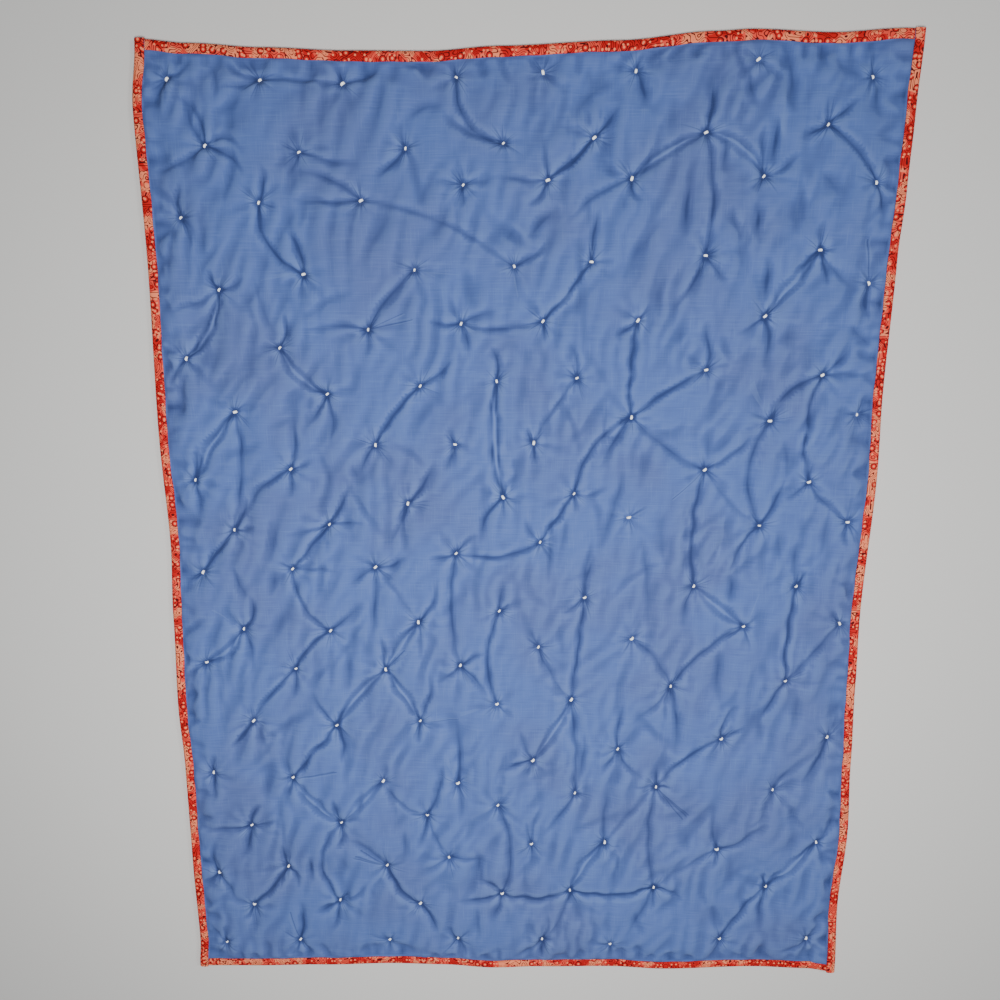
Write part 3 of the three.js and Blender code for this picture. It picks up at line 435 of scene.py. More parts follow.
def folds_depth(x, y):
    """The folds' creases, their lines wandering a little and their depth coming and going."""
    swing = waves(x, y, seed=31, count=16, shortest=40, longest=90)
    strength = np.clip(1 + STRENGTH_SWING * swing, *STRENGTH_RANGE)
    loose = FOLD_WANDER * ease(from_tie(x, y), WANDER_FROM, WANDER_FULL)
    wander_x = loose * waves(x, y, seed=32, count=16, shortest=24, longest=60)
    wander_y = loose * waves(x, y, seed=33, count=16, shortest=24, longest=60)
    return FOLD_DEPTH * strength * creases(x + wander_x, y + wander_y, FOLDS + STRAY_FOLDS)


TIE_PIT = 0.9 * MM
TIE_PIT_REACH = 5 * MM
TIE_DRAW = 3.0 * MM
TIE_DRAW_REACH = 22 * MM
TIE_FURTHEST = 5 * TIE_DRAW_REACH
PUCKER_RAYS = 9
PUCKER_JITTER = 0.4
PUCKER_LENGTHS = (16, 58)
PUCKER_DEPTHS = (0.4, 2.7)
PUCKER_DEEPENING = 1.5
PUCKER_WIDTH = 1.9 * MM
PUCKER_WIDENING = 0.06
PUCKER_START = (-1 * MM, 4 * MM)
PUCKER_FADE = 0.3
PUCKER_ROUND = 0.2
PUCKER_RIDGE = 0.15
PUCKER_RIDGE_PLACE = 3


def ties_depth(x, y):
    """At each tie a small round pit, a wide cone drawn in, and seeded rays of narrow puckers round it."""
    dice = np.random.default_rng(11)
    depth_here = np.zeros_like(x)
    for tie in TIES.values():
        near = np.flatnonzero(np.hypot(x - tie[0], y - tie[1]) < TIE_FURTHEST)
        dx, dy = x[near] - tie[0], y[near] - tie[1]
        far = np.hypot(dx, dy)
        pit = TIE_PIT * np.exp(-(far / TIE_PIT_REACH) ** 2)
        depth_here[near] += pit + TIE_DRAW * np.exp(-far / TIE_DRAW_REACH)
        jitter = dice.uniform(-PUCKER_JITTER, PUCKER_JITTER, PUCKER_RAYS)
        turns = (np.arange(PUCKER_RAYS) + jitter) * 2 * np.pi / PUCKER_RAYS
        lengths = dice.uniform(*PUCKER_LENGTHS, PUCKER_RAYS) * MM
        depths = dice.uniform(*PUCKER_DEPTHS, PUCKER_RAYS) ** PUCKER_DEEPENING * MM
        for turn, length, depth in zip(turns, lengths, depths):
            along = dx * np.cos(turn) + dy * np.sin(turn)
            across = dy * np.cos(turn) - dx * np.sin(turn)
            width = PUCKER_WIDTH + PUCKER_WIDENING * np.clip(along, 0, length)
            taper = ease(along, *PUCKER_START) * (1 - ease(along, PUCKER_FADE * length, length))
            across = np.abs(across) / width
            bell = np.exp(-np.sqrt(across ** 2 + PUCKER_ROUND ** 2))
            bell -= PUCKER_RIDGE * np.exp(-(across - PUCKER_RIDGE_PLACE) ** 2)
            depth_here[near] += depth * taper * bell
    return depth_here


# rumples of the cloth: seed, count of waves, shortest and longest in mm, spread of their run, height in mm
RUMPLES = [(5, 34, 50, 120, 0.34, 4.2), (6, 44, 30, 60, 0.36, 2.9)]
RUMPLE_LEAN = -0.30
RUMPLE_LIMIT = 4.2 * MM
SWELL = 0.9 * MM
CALM_SHARE = 0.35
PATCH_STEP = (-0.7, 0.9)
VALLEY_ROUND = 0.008
HILL_MEAN = 0.5


def rumple(x, y):
    """Long swells, and on them shorter waves folded up from 0 so that sharp valleys part the round hills."""
    height = SWELL * waves(x, y, seed=4, count=9, shortest=130, longest=280)
    patches = ease(waves(x, y, seed=8, count=9, shortest=90, longest=220), *PATCH_STEP)
    patchy = CALM_SHARE + (1 - CALM_SHARE) * patches
    for seed, count, shortest, longest, spread, total in RUMPLES:
        hills = waves(x, y, seed, count, shortest, longest, RUMPLE_LEAN, spread)
        height += total * MM * patchy * (np.sqrt(hills ** 2 + VALLEY_ROUND) - HILL_MEAN)
    return RUMPLE_LIMIT * np.tanh(height / RUMPLE_LIMIT)


def from_binding(x, y):
    """Least distance to the four edges, less the binding's face."""
    sides = [x - left_edge(y), right_edge(y) - x, top_edge(x) - y, y - bottom_edge(x)]
    return np.min(sides, axis=0) - BINDING_FACE


PUFF = 11.5 * MM
DEEPEST = 9.0 * MM
HIGHEST_RIDGE = 1.8 * MM
LOWEST_FACE = 2.4 * MM
BOTTOMLESS = -1.0
FACE_AT_BINDING = 6.6 * MM
SWELL_FROM = -14 * MM
SWELL_TO = 26 * MM
GATHER_FROM = -1 * MM
GATHER_FULL = 3 * MM


def face_height(x, y, limited=True):
    """Puffed height, less the ties' and folds' depths, brought down to the binding and gathered there;
    limited, the folds stop at the quilt's thickness, else they run as deep as the cloth is drawn."""
    depth = ties_depth(x, y) + folds_depth(x, y)
    if limited:
        limit = np.where(depth > 0, DEEPEST, HIGHEST_RIDGE)
        depth = limit * np.tanh(depth / limit)
    lowest = LOWEST_FACE if limited else BOTTOMLESS
    height = np.maximum(PUFF + rumple(x, y) - depth, lowest)
    held = ease(from_binding(x, y), SWELL_FROM, SWELL_TO)
    gathered = creases(x, y, GATHERS) * ease(from_binding(x, y), GATHER_FROM, GATHER_FULL)
    return np.maximum(FACE_AT_BINDING + (height - FACE_AT_BINDING) * held - gathered, lowest)


# rings that measure the face's hollowness for the cloth's painted shade and highlight
NARROW_RING = 2.2 * MM
WIDE_RING = 10 * MM
WIDE_WEIGHT = 0.72
EVENING = 0.6
RING_TURNS = np.arange(6) * np.pi / 3


def hollows(x, y):
    """Depth, where the folds aren't limited, below the mean of a narrow ring of points round each point, less
    than 0 on a rise, and some of the depth below a wide ring; both against the ring's radius."""
    middle = face_height(x, y, False)
    below = []
    for reach in (NARROW_RING, WIDE_RING):
        around = [face_height(x + reach * np.cos(turn), y + reach * np.sin(turn), False)
                  for turn in RING_TURNS]
        below.append((np.mean(around, axis=0) - middle) / reach)
    return below[0] + WIDE_WEIGHT * np.maximum(below[1], 0)


def evened(grid):
    """Each value of a grid brought part of the way to the mean of its four neighbours."""
    wide = np.pad(grid, 1, mode="edge")
    beside = (wide[:-2, 1:-1] + wide[2:, 1:-1] + wide[1:-1, :-2] + wide[1:-1, 2:]) / 4
    return grid + EVENING * (beside - grid)


# margin rings from the edge inwards: inset, height of the top and height of the underside, in mm
MARGIN_RINGS = [(1.5, 4.5, 2.5), (3.5, 5.5, 1.5), (12.5, 5.5, 1.5), (14.0, 6.4, 0.0)]
FACE_PITCH = 3.36 * MM
DRAWN_SHARE = 0.64
DRAWN_REACH = 6 * MM
TIE_DRAWN_REACH = 15 * MM
DRAWN_FROM = 2 * MM
DRAWN_FULL = 14 * MM


def drawn_in(x, y):
    """Points drawn nearer to each tie and each fold, or pair of strands, so that the mesh is finest there."""
    x, y = x.copy(), y.copy()
    free = ease(from_binding(x, y), DRAWN_FROM, DRAWN_FULL)
    for line, _, _, offset, _ in FOLDS:
        if offset > 0:
            continue
        reach = DRAWN_REACH if offset == 0 else 2 * DRAWN_REACH
        low = line.min(0) - 3 * reach
        high = line.max(0) + 3 * reach
        inside = np.flatnonzero((x > low[0]) & (x < high[0]) & (y > low[1]) & (y < high[1]))
        side, share = beside_line(x[inside], y[inside], line)
        run = line[-1] - line[0]
        away = np.array([-run[1], run[0]]) / np.hypot(*run)
        ends = np.sin(np.pi * np.clip(share, 0, 1)) ** 0.5
        shift = DRAWN_SHARE * side * np.exp(-(side / reach) ** 2) * ends * free[inside]
        x[inside] -= shift * away[0]
        y[inside] -= shift * away[1]
    for tie in TIES.values():
        near = np.flatnonzero(np.hypot(x - tie[0], y - tie[1]) < 3 * TIE_DRAWN_REACH)
        dx, dy = x[near] - tie[0], y[near] - tie[1]
        shift = DRAWN_SHARE * np.exp(-(np.hypot(dx, dy) / TIE_DRAWN_REACH) ** 2) * free[near]
        x[near] -= shift * dx
        y[near] -= shift * dy
    return x, y


def grid_shares(size):
    """Margin insets at either end and even steps between, as shares of the size."""
    insets = np.array([inset for inset, _, _ in MARGIN_RINGS]) * MM
    steps = int(round((size - 2 * insets[-1]) / FACE_PITCH))
    between = np.linspace(insets[-1], size - insets[-1], steps + 1)[1:-1]
    return np.concatenate([insets, between, size - insets[::-1]]) / size


def put_mesh(name, points, faces):
    """New object of these points and faces, its place kept in the mesh."""
    mesh = bpy.data.meshes.new(name)
    mesh.from_pydata((points - MIDDLE).tolist(), [], faces)
    mesh.update()
    made = bpy.data.objects.new(name, mesh)
    bpy.context.scene.collection.objects.link(made)
    mesh.polygons.foreach_set("use_smooth", np.ones(len(mesh.polygons), bool))
    return made


def squares(index):
    """Corners of each square of a grid of point numbers, all the same way round."""
    return np.stack([index[:-1, :-1], index[1:, :-1], index[1:, 1:], index[:-1, 1:]], -1).reshape(-1, 4)


def ring_loop(index, k):
    """Point numbers of a grid's ring k from the edge, once round."""
    rows, columns = index.shape
    part = index[k:rows - k, k:columns - k]
    return np.concatenate([part[0, :-1], part[:-1, -1], part[-1, :0:-1], part[:0:-1, 0]])


UNTIED = 9.0  # place and distance, in metres, given as nearest tie to points of the underside


def padded_panel():
    """Face on a grid spread between the four edges; under it the margin's rings and one flat panel."""
    across, down = np.meshgrid(grid_shares(WIDTH), 1 - grid_shares(LENGTH))
    rows, columns = across.shape
    plain_x = WIDTH * (across - 0.5)
    y = bottom_edge(plain_x) + (top_edge(plain_x) - bottom_edge(plain_x)) * down
    x = left_edge(y) + (right_edge(y) - left_edge(y)) * across
    x, y = drawn_in(x.ravel(), y.ravel())
    column_at, row_at = np.meshgrid(np.arange(columns), np.arange(rows))
    ring = np.minimum.reduce([column_at, row_at, columns - 1 - column_at, rows - 1 - row_at]).ravel()
    last = len(MARGIN_RINGS) - 1
    z = face_height(x, y)
    for k, (_, top, _) in enumerate(MARGIN_RINGS[:-1]):
        z = np.where(ring == k, top * MM, z)
    # hollowness of the face, which gives the cloth its painted shade and highlight and the squares their
    # diagonals
    hollow_for_painted_light = evened(hollows(x, y).reshape(rows, columns)).ravel() * (ring >= last)
    face = np.stack([x, y, z], -1)
    index = np.arange(rows * columns).reshape(rows, columns)
    corners = squares(index)
    heights = z[corners]
    valley = hollow_for_painted_light[corners].sum(1) > 0
    turned = (heights[:, 0] + heights[:, 2] > heights[:, 1] + heights[:, 3]) == valley
    face_squares = np.where(turned[:, None], np.roll(corners, -1, axis=1), corners)
    loops = [ring_loop(index, k) for k in range(len(MARGIN_RINGS))]
    spots = np.concatenate(loops)
    under = face[spots]
    under[:, 2] = np.repeat([low * MM for _, _, low in MARGIN_RINGS], [len(loop) for loop in loops])
    below = np.zeros(len(face), int)
    below[spots] = len(face) + np.arange(len(spots))
    outer, after = loops[0], np.roll(loops[0], -1)
    walls = np.stack([outer, after, below[after], below[outer]], -1)
    margin = corners[(ring[corners] <= last).all(1)]
    faces = np.concatenate([face_squares, walls, below[margin][:, ::-1]]).tolist()
    faces.append(below[loops[last]].tolist())
    made = put_mesh("quilt_panel", np.concatenate([face, under]), faces)
    # stored for the cloth's painted shade and painted highlight
    shade = made.data.attributes.new("hollow_for_painted_light", "FLOAT", "POINT")
    shade.data.foreach_set("value", np.concatenate([hollow_for_painted_light, np.zeros(len(under))]))
    face_ties = np.column_stack([nearest_tie(x, y) - MIDDLE[:2], from_tie(x, y)])
    tied = made.data.attributes.new("nearest_tie", "FLOAT_VECTOR", "POINT")
    tied.data.foreach_set("vector", np.concatenate([face_ties, np.full(under.shape, UNTIED)]).ravel())
    return made


class Field:
    """A socket in a material's nodes; sums, differences, products and quotients of fields add Math nodes."""

    def __init__(self, tree, socket=None):
        self.tree = tree
        self.socket = socket

    def node(self, kind, settings=(), sockets=(), out=0):
        """New node of this kind, its settings made first, then its sockets given values or links."""
        made = self.tree.nodes.new(kind)
        for name, value in dict(settings).items():
            setattr(made, name, value)
        for name, value in dict(sockets).items():
            if isinstance(value, Field):
                self.tree.links.new(value.socket, made.inputs[name])
            else:
                made.inputs[name].default_value = value
        return Field(self.tree, made.outputs[out])

    def maths(self, operation, first, second=0.0):
        """One Math node."""
        return self.node("ShaderNodeMath", {"operation": operation}, {0: first, 1: second})

    def __add__(self, other):
        return self.maths("ADD", self, other)

    def __sub__(self, other):
        return self.maths("SUBTRACT", self, other)

    def __rsub__(self, other):
        return self.maths("SUBTRACT", other, self)

    def __mul__(self, other):
        return self.maths("MULTIPLY", self, other)

    def __truediv__(self, other):
        return self.maths("DIVIDE", self, other)

    def __rtruediv__(self, other):
        return self.maths("DIVIDE", other, self)

    __radd__ = __add__
    __rmul__ = __mul__

    def step(self, low, high):
        """Smooth step from 0 at low to 1 at high."""
        return self.node("ShaderNodeMapRange", {"interpolation_type": "SMOOTHSTEP"},
                         {"Value": self, "From Min": low, "From Max": high})

    def mix(self, first, second):
        """First colour where this field is 0, second where it is 1."""
        return self.node("ShaderNodeMix", {"data_type": "RGBA"}, {0: self, 6: first, 7: second}, out=2)

    def noise(self, place, scale, detail=2.0):
        """Noise of this scale at a place."""
        return self.node("ShaderNodeTexNoise", {}, {"Vector": place, "Scale": scale, "Detail": detail})

    def cells(self, place, scale, out=0):
        """Nearest cell of this scale at a place: the distance to its middle, or its colour where out is 1."""
        return self.node("ShaderNodeTexVoronoi", {"feature": "F1", "voronoi_dimensions": "2D"},
                         {"Vector": place, "Scale": scale, "Randomness": 0.8}, out)

    def vector(self, operation, first, second=(0, 0, 0), out=0):
        """One Vector Math node."""
        return self.node("ShaderNodeVectorMath", {"operation": operation}, {0: first, 1: second}, out)

    def stretched(self, place, size):
        """A place multiplied axis by axis."""
        return self.vector("MULTIPLY", place, size)


def srgb(red, green, blue):
    """Colour from 0 to 255 as light, through the display curve."""
    shade = np.array([red, green, blue]) / 255
    light = np.where(shade > 0.04045, ((shade + 0.055) / 1.055) ** 2.4, shade / 12.92)
    return (*light.tolist(), 1.0)


def new_material(name, roughness):
    """Material with one main shader; its field to work from and the shader are given back."""
    material = bpy.data.materials.new(name)
    material.use_nodes = True
    tree = material.node_tree
    shader = tree.nodes["Principled BSDF"]
    shader.inputs["Roughness"].default_value = roughness
    shader.inputs["Specular IOR Level"].default_value = 0.25
    return material, Field(tree), shader


CHAMBRAY_BLUE = srgb(81, 105, 168)
CHAMBRAY_GREYED = srgb(83, 101, 158)
CHAMBRAY_DARK = srgb(60, 82, 136)
# paler weft colour, also the painted highlight on the rises and beside the tie rays
CHAMBRAY_PALE_AND_HIGHLIGHT = srgb(110, 136, 192)
# painted shade colour for the closed folds and the tie rays' creases
CHAMBRAY_PAINTED_SHADE = srgb(26, 40, 86)
RAY_HALF = 0.8 * MM
RAY_REACH = 62 * MM
RAY_START = 6 * MM
RAYS_ROUND = (2.1, 2.1, 0)
TIES_APART = (90, 90, 0)


def tie_rays(field, place):
    """Fine creases from each tie, where a noise of the direction from the nearest tie is at its middle: of
    one width all along, each with its own reach, in painted shade in the crease and painted highlight beside
    it."""
    tie = field.node("ShaderNodeAttribute", {"attribute_name": "nearest_tie"}, out=1)
    far = field.node("ShaderNodeSeparateXYZ", {}, {0: tie}, out=2)
    away = field.stretched(field.vector("SUBTRACT", place, tie), (1, 1, 0))
    turn = field.stretched(field.vector("NORMALIZE", away), RAYS_ROUND)
    turn = field.vector("ADD", turn, field.stretched(tie, TIES_APART))
    beside = field.maths("ABSOLUTE", field.noise(turn, 1.0, 1.0) - 0.5) * far
    reach = (field.noise(turn, 0.8, 0.0) - 0.2) * RAY_REACH
    strength = far.step(0.0, RAY_START) * (1 - far.step(reach * 0.2, reach))
    ray_crease_and_painted_shade = (1 - beside.step(0.0, RAY_HALF)) * strength
    ray_rim_painted_highlight = beside.step(RAY_HALF, 2 * RAY_HALF) * (1 - beside.step(2 * RAY_HALF, 4 * RAY_HALF)) * strength
    return ray_crease_and_painted_shade, ray_rim_painted_highlight


PATCH_SCALE = 7.0
SLUBS_APART = (26, 640, 1)
ENDS_APART = (900, 30, 1)
RIB_SCALE = 260.0
CRUMPLE_SCALE = 55.0
# painted shade where a fold closes up and painted highlight on the rises, against the face's hollowness
CLOSED_HALFWAY = 0.3
CLOSED_PAINTED_SHADE = 0.66
SHUT_PAINTED_SHADE = 0.24
RISEN_HALFWAY = 0.17
RISEN_PAINTED_HIGHLIGHT = 0.8
# painted shade in the tie rays' creases and painted highlight beside them
RAY_PAINTED_SHADE = 0.45
RAY_RIM_PAINTED_HIGHLIGHT = 0.25
CLOTH_RELIEF = 0.9 * MM


def chambray():
    """Blue warp and paler weft: fine crossing ribs, long uneven slubs across, slow greyed patches; painted
    shade where a fold closes up and a painted highlight on the rises, with fine creases at the ties in
    painted shade and highlight."""
    material, field, shader = new_material("chambray", 0.9)
    place = field.node("ShaderNodeTexCoord", out=3)
    patches = field.noise(place, PATCH_SCALE).step(0.4, 0.68)
    colour = patches.mix(CHAMBRAY_BLUE, CHAMBRAY_GREYED)
    slubs = field.noise(field.stretched(place, SLUBS_APART), 1.0, 3.0)
    colour = (slubs.step(0.5, 0.78) * 0.3).mix(colour, CHAMBRAY_DARK)
    colour = (slubs.step(0.5, 0.22) * 0.22).mix(colour, CHAMBRAY_PALE_AND_HIGHLIGHT)
    ends = field.noise(field.stretched(place, ENDS_APART), 1.0, 2.0)
    colour = (ends.step(0.5, 0.8) * 0.25).mix(colour, CHAMBRAY_PALE_AND_HIGHLIGHT)
    # painted shade where the face's hollowness is above 0, painted highlight on the rises below it
    hollow_for_painted_light = field.node("ShaderNodeAttribute", {"attribute_name": "hollow_for_painted_light"}, out=2)
    closed = field.maths("MAXIMUM", hollow_for_painted_light, 0.0)
    shut_painted_shade = closed.step(0.25, 0.95) * SHUT_PAINTED_SHADE
    colour = (closed / (closed + CLOSED_HALFWAY) * CLOSED_PAINTED_SHADE + shut_painted_shade).mix(colour, CHAMBRAY_PAINTED_SHADE)
    risen = field.maths("MAXIMUM", 0 - hollow_for_painted_light, 0.0)
    colour = (risen / (risen + RISEN_HALFWAY) * RISEN_PAINTED_HIGHLIGHT).mix(colour, CHAMBRAY_PALE_AND_HIGHLIGHT)
    # tie rays: painted shade in the crease and painted highlight beside it; the crease is in the bump too
    ray_crease_and_painted_shade, ray_rim_painted_highlight = tie_rays(field, place)
    colour = (ray_crease_and_painted_shade * RAY_PAINTED_SHADE).mix(colour, CHAMBRAY_PAINTED_SHADE)
    colour = (ray_rim_painted_highlight * RAY_RIM_PAINTED_HIGHLIGHT).mix(colour, CHAMBRAY_PALE_AND_HIGHLIGHT)
    ribs_x = field.node("ShaderNodeTexWave", {"bands_direction": "X"}, {"Vector": place, "Scale": RIB_SCALE})
    ribs_y = field.node("ShaderNodeTexWave", {"bands_direction": "Y"}, {"Vector": place, "Scale": RIB_SCALE},
                        out=1)
    weave = ribs_x * 0.5 + ribs_y * 0.5
    crumple = field.noise(place, CRUMPLE_SCALE, 4.0)
    relief = slubs * 0.35 + weave * 0.12 + crumple * 0.9 + ends * 0.2 - ray_crease_and_painted_shade * 0.7
    bump = field.node("ShaderNodeBump", {}, {"Strength": 0.35, "Distance": CLOTH_RELIEF, "Height": relief})
    field.tree.links.new(colour.socket, shader.inputs["Base Color"])
    field.tree.links.new(bump.socket, shader.inputs["Normal"])
    field.tree.links.new((0.84 + slubs * 0.12).socket, shader.inputs["Roughness"])
    shader.inputs["Sheen Weight"].default_value = 0.04
    return material


panel = padded_panel()
panel.data.materials.append(chambray())
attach(panel, "root")
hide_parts("quilt_body")

# The binding: four strips of printed cotton, each folded over the panel's
# edge and stitched down. The side strips run the whole height, over the ends
# of the top and bottom strips.
BINDING_CLOTH = 1.2
BINDING_SECTION = [  # inset from the edge and height, in mm, round the outside from the front leaf's hem
    (12.0, 6.5), (11.4, 7.0), (9.4, 7.4), (7.0, 7.5), (4.6, 7.35), (2.6, 6.9), (1.1, 6.1), (0.3, 4.9),
    (0.0, 3.6), (0.3, 2.2), (1.1, 1.0), (2.6, 0.3), (4.6, 0.0), (8.5, 0.0), (12.0, 0.0)]
SLOT_SECTION = [  # the same round the inside, from the back leaf's hem
    (12.0, 1.2), (8.5, 1.2), (4.6, 1.2), (2.6, 1.6), (1.5, 2.4), (1.2, 3.6), (1.5, 4.8), (2.6, 5.6),
    (4.6, 5.8), (8.5, 5.8), (12.0, 5.8)]
STRIP_PITCH = 4 * MM
STRIP_GAP = 0.3 * MM
# how a strip wavers, in mm: the waves' lengths, the hem's sway and the crown's, and where each sets in
WAVER_LENGTHS = (38, 71, 133)
HEM_WAVER = 0.7
HEM_FROM = 9
HEM_RUN = 3
CROWN_WAVER = 0.25
CROWN_ABOVE = 6.6


def strip_waver(along, seed):
    """Slow unevenness of a strip's width and crown along its length: the mean of three seeded sine waves."""
    dice = np.random.default_rng(seed)
    swells = [np.sin(2 * np.pi * along / (length * MM) + dice.uniform(0, 6)) for length in WAVER_LENGTHS]
    return sum(swells) / len(swells)


def strip_points(along, edge, inward, seed, upright, cuts=None):
    """Section carried along an edge: inset inwards, leaf width and crown wavering, ends cut to a line."""
    section = np.array(BINDING_SECTION + SLOT_SECTION)
    waver = strip_waver(along, seed)[:, None]
    leaf = np.where(section[:, 0] > HEM_FROM, (section[:, 0] - HEM_FROM) / HEM_RUN, 0)
    inset = (section[:, 0] + HEM_WAVER * waver * leaf) * MM
    crown = np.where(section[:, 1] > CROWN_ABOVE, CROWN_WAVER, 0)
    height = (section[:, 1] + crown * waver) * MM + np.zeros_like(inset)
    run = along[:, None] + np.zeros_like(inset)
    if cuts:
        for end, cut in ((0, cuts[0]), (-1, cuts[1])):
            run[end] = cut(edge(run[end]) + inward * inset[end])
    off = edge(run) + inward * inset
    return np.stack([off, run, height] if upright else [run, off, height], -1)


def strip_mesh(name, points, closed_ends, turned):
    """Skin between the stations, and at each end either the cut leaves or a folded-in wall; the print's UV
    map runs along the strip and round its section, in metres."""
    stations, count, _ = points.shape
    outside = len(BINDING_SECTION)
    index = np.arange(stations * count).reshape(stations, count)
    ahead = np.roll(index, -1, axis=1)
    skin = np.stack([index[:-1], index[1:], ahead[1:], ahead[:-1]], -1)
    if closed_ends:
        skin = skin[1:-1]
    faces = skin.reshape(-1, 4).tolist()
    for end, step in ((0, 1), (stations - 1, -1)):
        ring = index[end].tolist()
        if closed_ends:
            inner = index[end + step].tolist()
            outer_faces = [[ring[k], inner[k], inner[k + 1], ring[k + 1]] for k in range(outside - 1)]
            outer_faces.append(ring[:outside][::-1])
            outer_faces.append(inner[outside:][::-1])
            outer_faces.append([ring[0], ring[outside - 1], inner[outside - 1], inner[outside],
                                inner[-1], inner[0]])
            faces += outer_faces if step > 0 else [f[::-1] for f in outer_faces]
        else:
            faces.append(ring[::-1] if step > 0 else ring)
    if turned:
        faces = [face[::-1] for face in faces]
    used = np.unique(np.concatenate(faces))
    number = np.zeros(stations * count, int)
    number[used] = np.arange(len(used))
    piece = put_mesh(name, points.reshape(-1, 3)[used], [number[face].tolist() for face in faces])
    section = np.linalg.norm(np.diff(points[stations // 2], axis=0), axis=1).cumsum()
    along = np.linalg.norm(np.diff(points[:, 0], axis=0), axis=1).cumsum()
    uv = np.meshgrid(np.concatenate([[0], along]), np.concatenate([[0], section]), indexing="ij")
    uv = np.stack(uv, -1).reshape(-1, 2)[used]
    corners = np.empty(len(piece.data.loops), int)
    piece.data.loops.foreach_get("vertex_index", corners)
    piece.data.uv_layers.new(name="strip").data.foreach_set("uv", uv[corners].ravel())
    return piece


def side_strip(name, edge, inward, seed):
    """Upright strip over the whole height, its ends folded in."""
    outer_x = edge(np.array([LENGTH / 2, -LENGTH / 2]))
    top = max(top_edge(outer_x[0]), top_edge(outer_x[0] + inward * BINDING_FACE))
    bottom = min(bottom_edge(outer_x[1]), bottom_edge(outer_x[1] + inward * BINDING_FACE))
    wall = BINDING_CLOTH * MM
    steps = int((top - bottom) / STRIP_PITCH)
    along = np.concatenate([[bottom], np.linspace(bottom + wall, top - wall, steps), [top]])
    points = strip_points(along, edge, inward, seed, True)
    return strip_mesh(name, points, True, inward > 0)


def end_strip(name, edge, inward, seed):
    """Level strip between the side strips, each end cut to lie along theirs."""
    clear = BINDING_FACE + STRIP_GAP + HEM_WAVER * MM
    cuts = (lambda y: left_edge(y) + clear, lambda y: right_edge(y) - clear)
    first, last = cuts[0](edge(0.0)), cuts[1](edge(0.0))
    along = np.linspace(first, last, int((last - first) / STRIP_PITCH))
    points = strip_points(along, edge, inward, seed, False, cuts)
    return strip_mesh(name, points, False, inward < 0)


PRINT_RED = srgb(198, 18, 18)
PRINT_SALMON = srgb(238, 74, 56)
PRINT_PEACH = srgb(252, 136, 96)
PRINT_DARK = srgb(82, 4, 8)
GROUND_SCALE = 46.0
SCROLL_SCALE = 90.0
SCROLL_TURNS = 56.0
ROUND_SCALE = 92.0
DOT_SCALE = 210.0
PRINT_WEAVE = (1500, 1500, 1)
PRINT_RELIEF = 0.4 * MM


def printed_cotton(name, slide):
    """Small folk print: peach, salmon and red ground, dark scrolling lines, rimmed rounds and dots."""
    material, field, shader = new_material(name, 0.85)
    uv = field.node("ShaderNodeUVMap", {"uv_map": "strip"})
    place = field.vector("ADD", uv, slide)
    ground = field.noise(place, GROUND_SCALE)
    colour = ground.step(0.43, 0.47).mix(PRINT_PEACH, PRINT_SALMON)
    colour = ground.step(0.53, 0.56).mix(colour, PRINT_RED)
    scrolls = field.maths("SINE", field.noise(place, SCROLL_SCALE, 0.0) * SCROLL_TURNS)
    colour = scrolls.step(0.5, 0.75).mix(colour, PRINT_DARK)
    middle = field.cells(place, ROUND_SCALE)
    kind = field.node("ShaderNodeSeparateColor", {}, {0: field.cells(place, ROUND_SCALE, out=1)})
    rounds = kind.step(0.6, 0.61)
    colour = (rounds * (1 - middle.step(0.36, 0.4))).mix(colour, PRINT_DARK)
    colour = (rounds * (1 - middle.step(0.27, 0.31))).mix(colour, PRINT_RED)
    colour = (rounds * (1 - middle.step(0.12, 0.16))).mix(colour, PRINT_PEACH)
    chosen = field.node("ShaderNodeSeparateColor", {}, {0: field.cells(place, DOT_SCALE, out=1)}, out=1)
    dots = (1 - field.cells(place, DOT_SCALE).step(0.24, 0.3)) * chosen.step(0.66, 0.67)
    colour = dots.mix(colour, PRINT_PEACH)
    weave = field.noise(field.stretched(place, PRINT_WEAVE), 1.0)
    bump = field.node("ShaderNodeBump", {}, {"Strength": 0.3, "Distance": PRINT_RELIEF, "Height": weave})
    field.tree.links.new(colour.socket, shader.inputs["Base Color"])
    field.tree.links.new(bump.socket, shader.inputs["Normal"])
    return material


STRIPS = [  # piece, its maker, its edge, which way is inwards, seed, slide of the print, flat length
    ("binding_left", side_strip, left_edge, 1, 3, (0.0, 0.0, 0.0), 1.214),
    ("binding_right", side_strip, right_edge, -1, 4, (0.7, 0.31, 0.0), 1.215),
    ("binding_top", end_strip, top_edge, -1, 5, (0.2, 0.83, 0.0), 0.87),
    ("binding_bottom", end_strip, bottom_edge, 1, 6, (0.45, 0.57, 0.0), 0.869),
]
for node, make, edge, inward, seed, slide, length in STRIPS:
    strip = make(node + "_cloth", edge, inward, seed)
    strip.data.materials.append(printed_cotton(node + "_print", slide))
    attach(strip, "root")
    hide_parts(node)

# The ties: two strands of white cotton thread taken through the quilt and
# back at each place of the lattice, lying on the face as a short fat stitch.
TIE_LENGTH = 6.0 * MM
TIE_STRANDS = 2
STRAND_RADIUS = 0.78 * MM
TIE_ARCH = 1.9 * MM
STRAND_STEPS = 7
STRAND_SIDES = 6
LANE_SHARE = 0.85
LANE_DROP = 0.25
LANE_CLOSING = 0.35
END_THINNING = 0.45
END_DIP = 1.7
TIE_SIZES = (0.8, 1.15)
TIE_SLANT = 48
LAST_COLUMN = 15
LAST_COLUMN_SLANT = 84
SLANT_SPREAD = 0.55


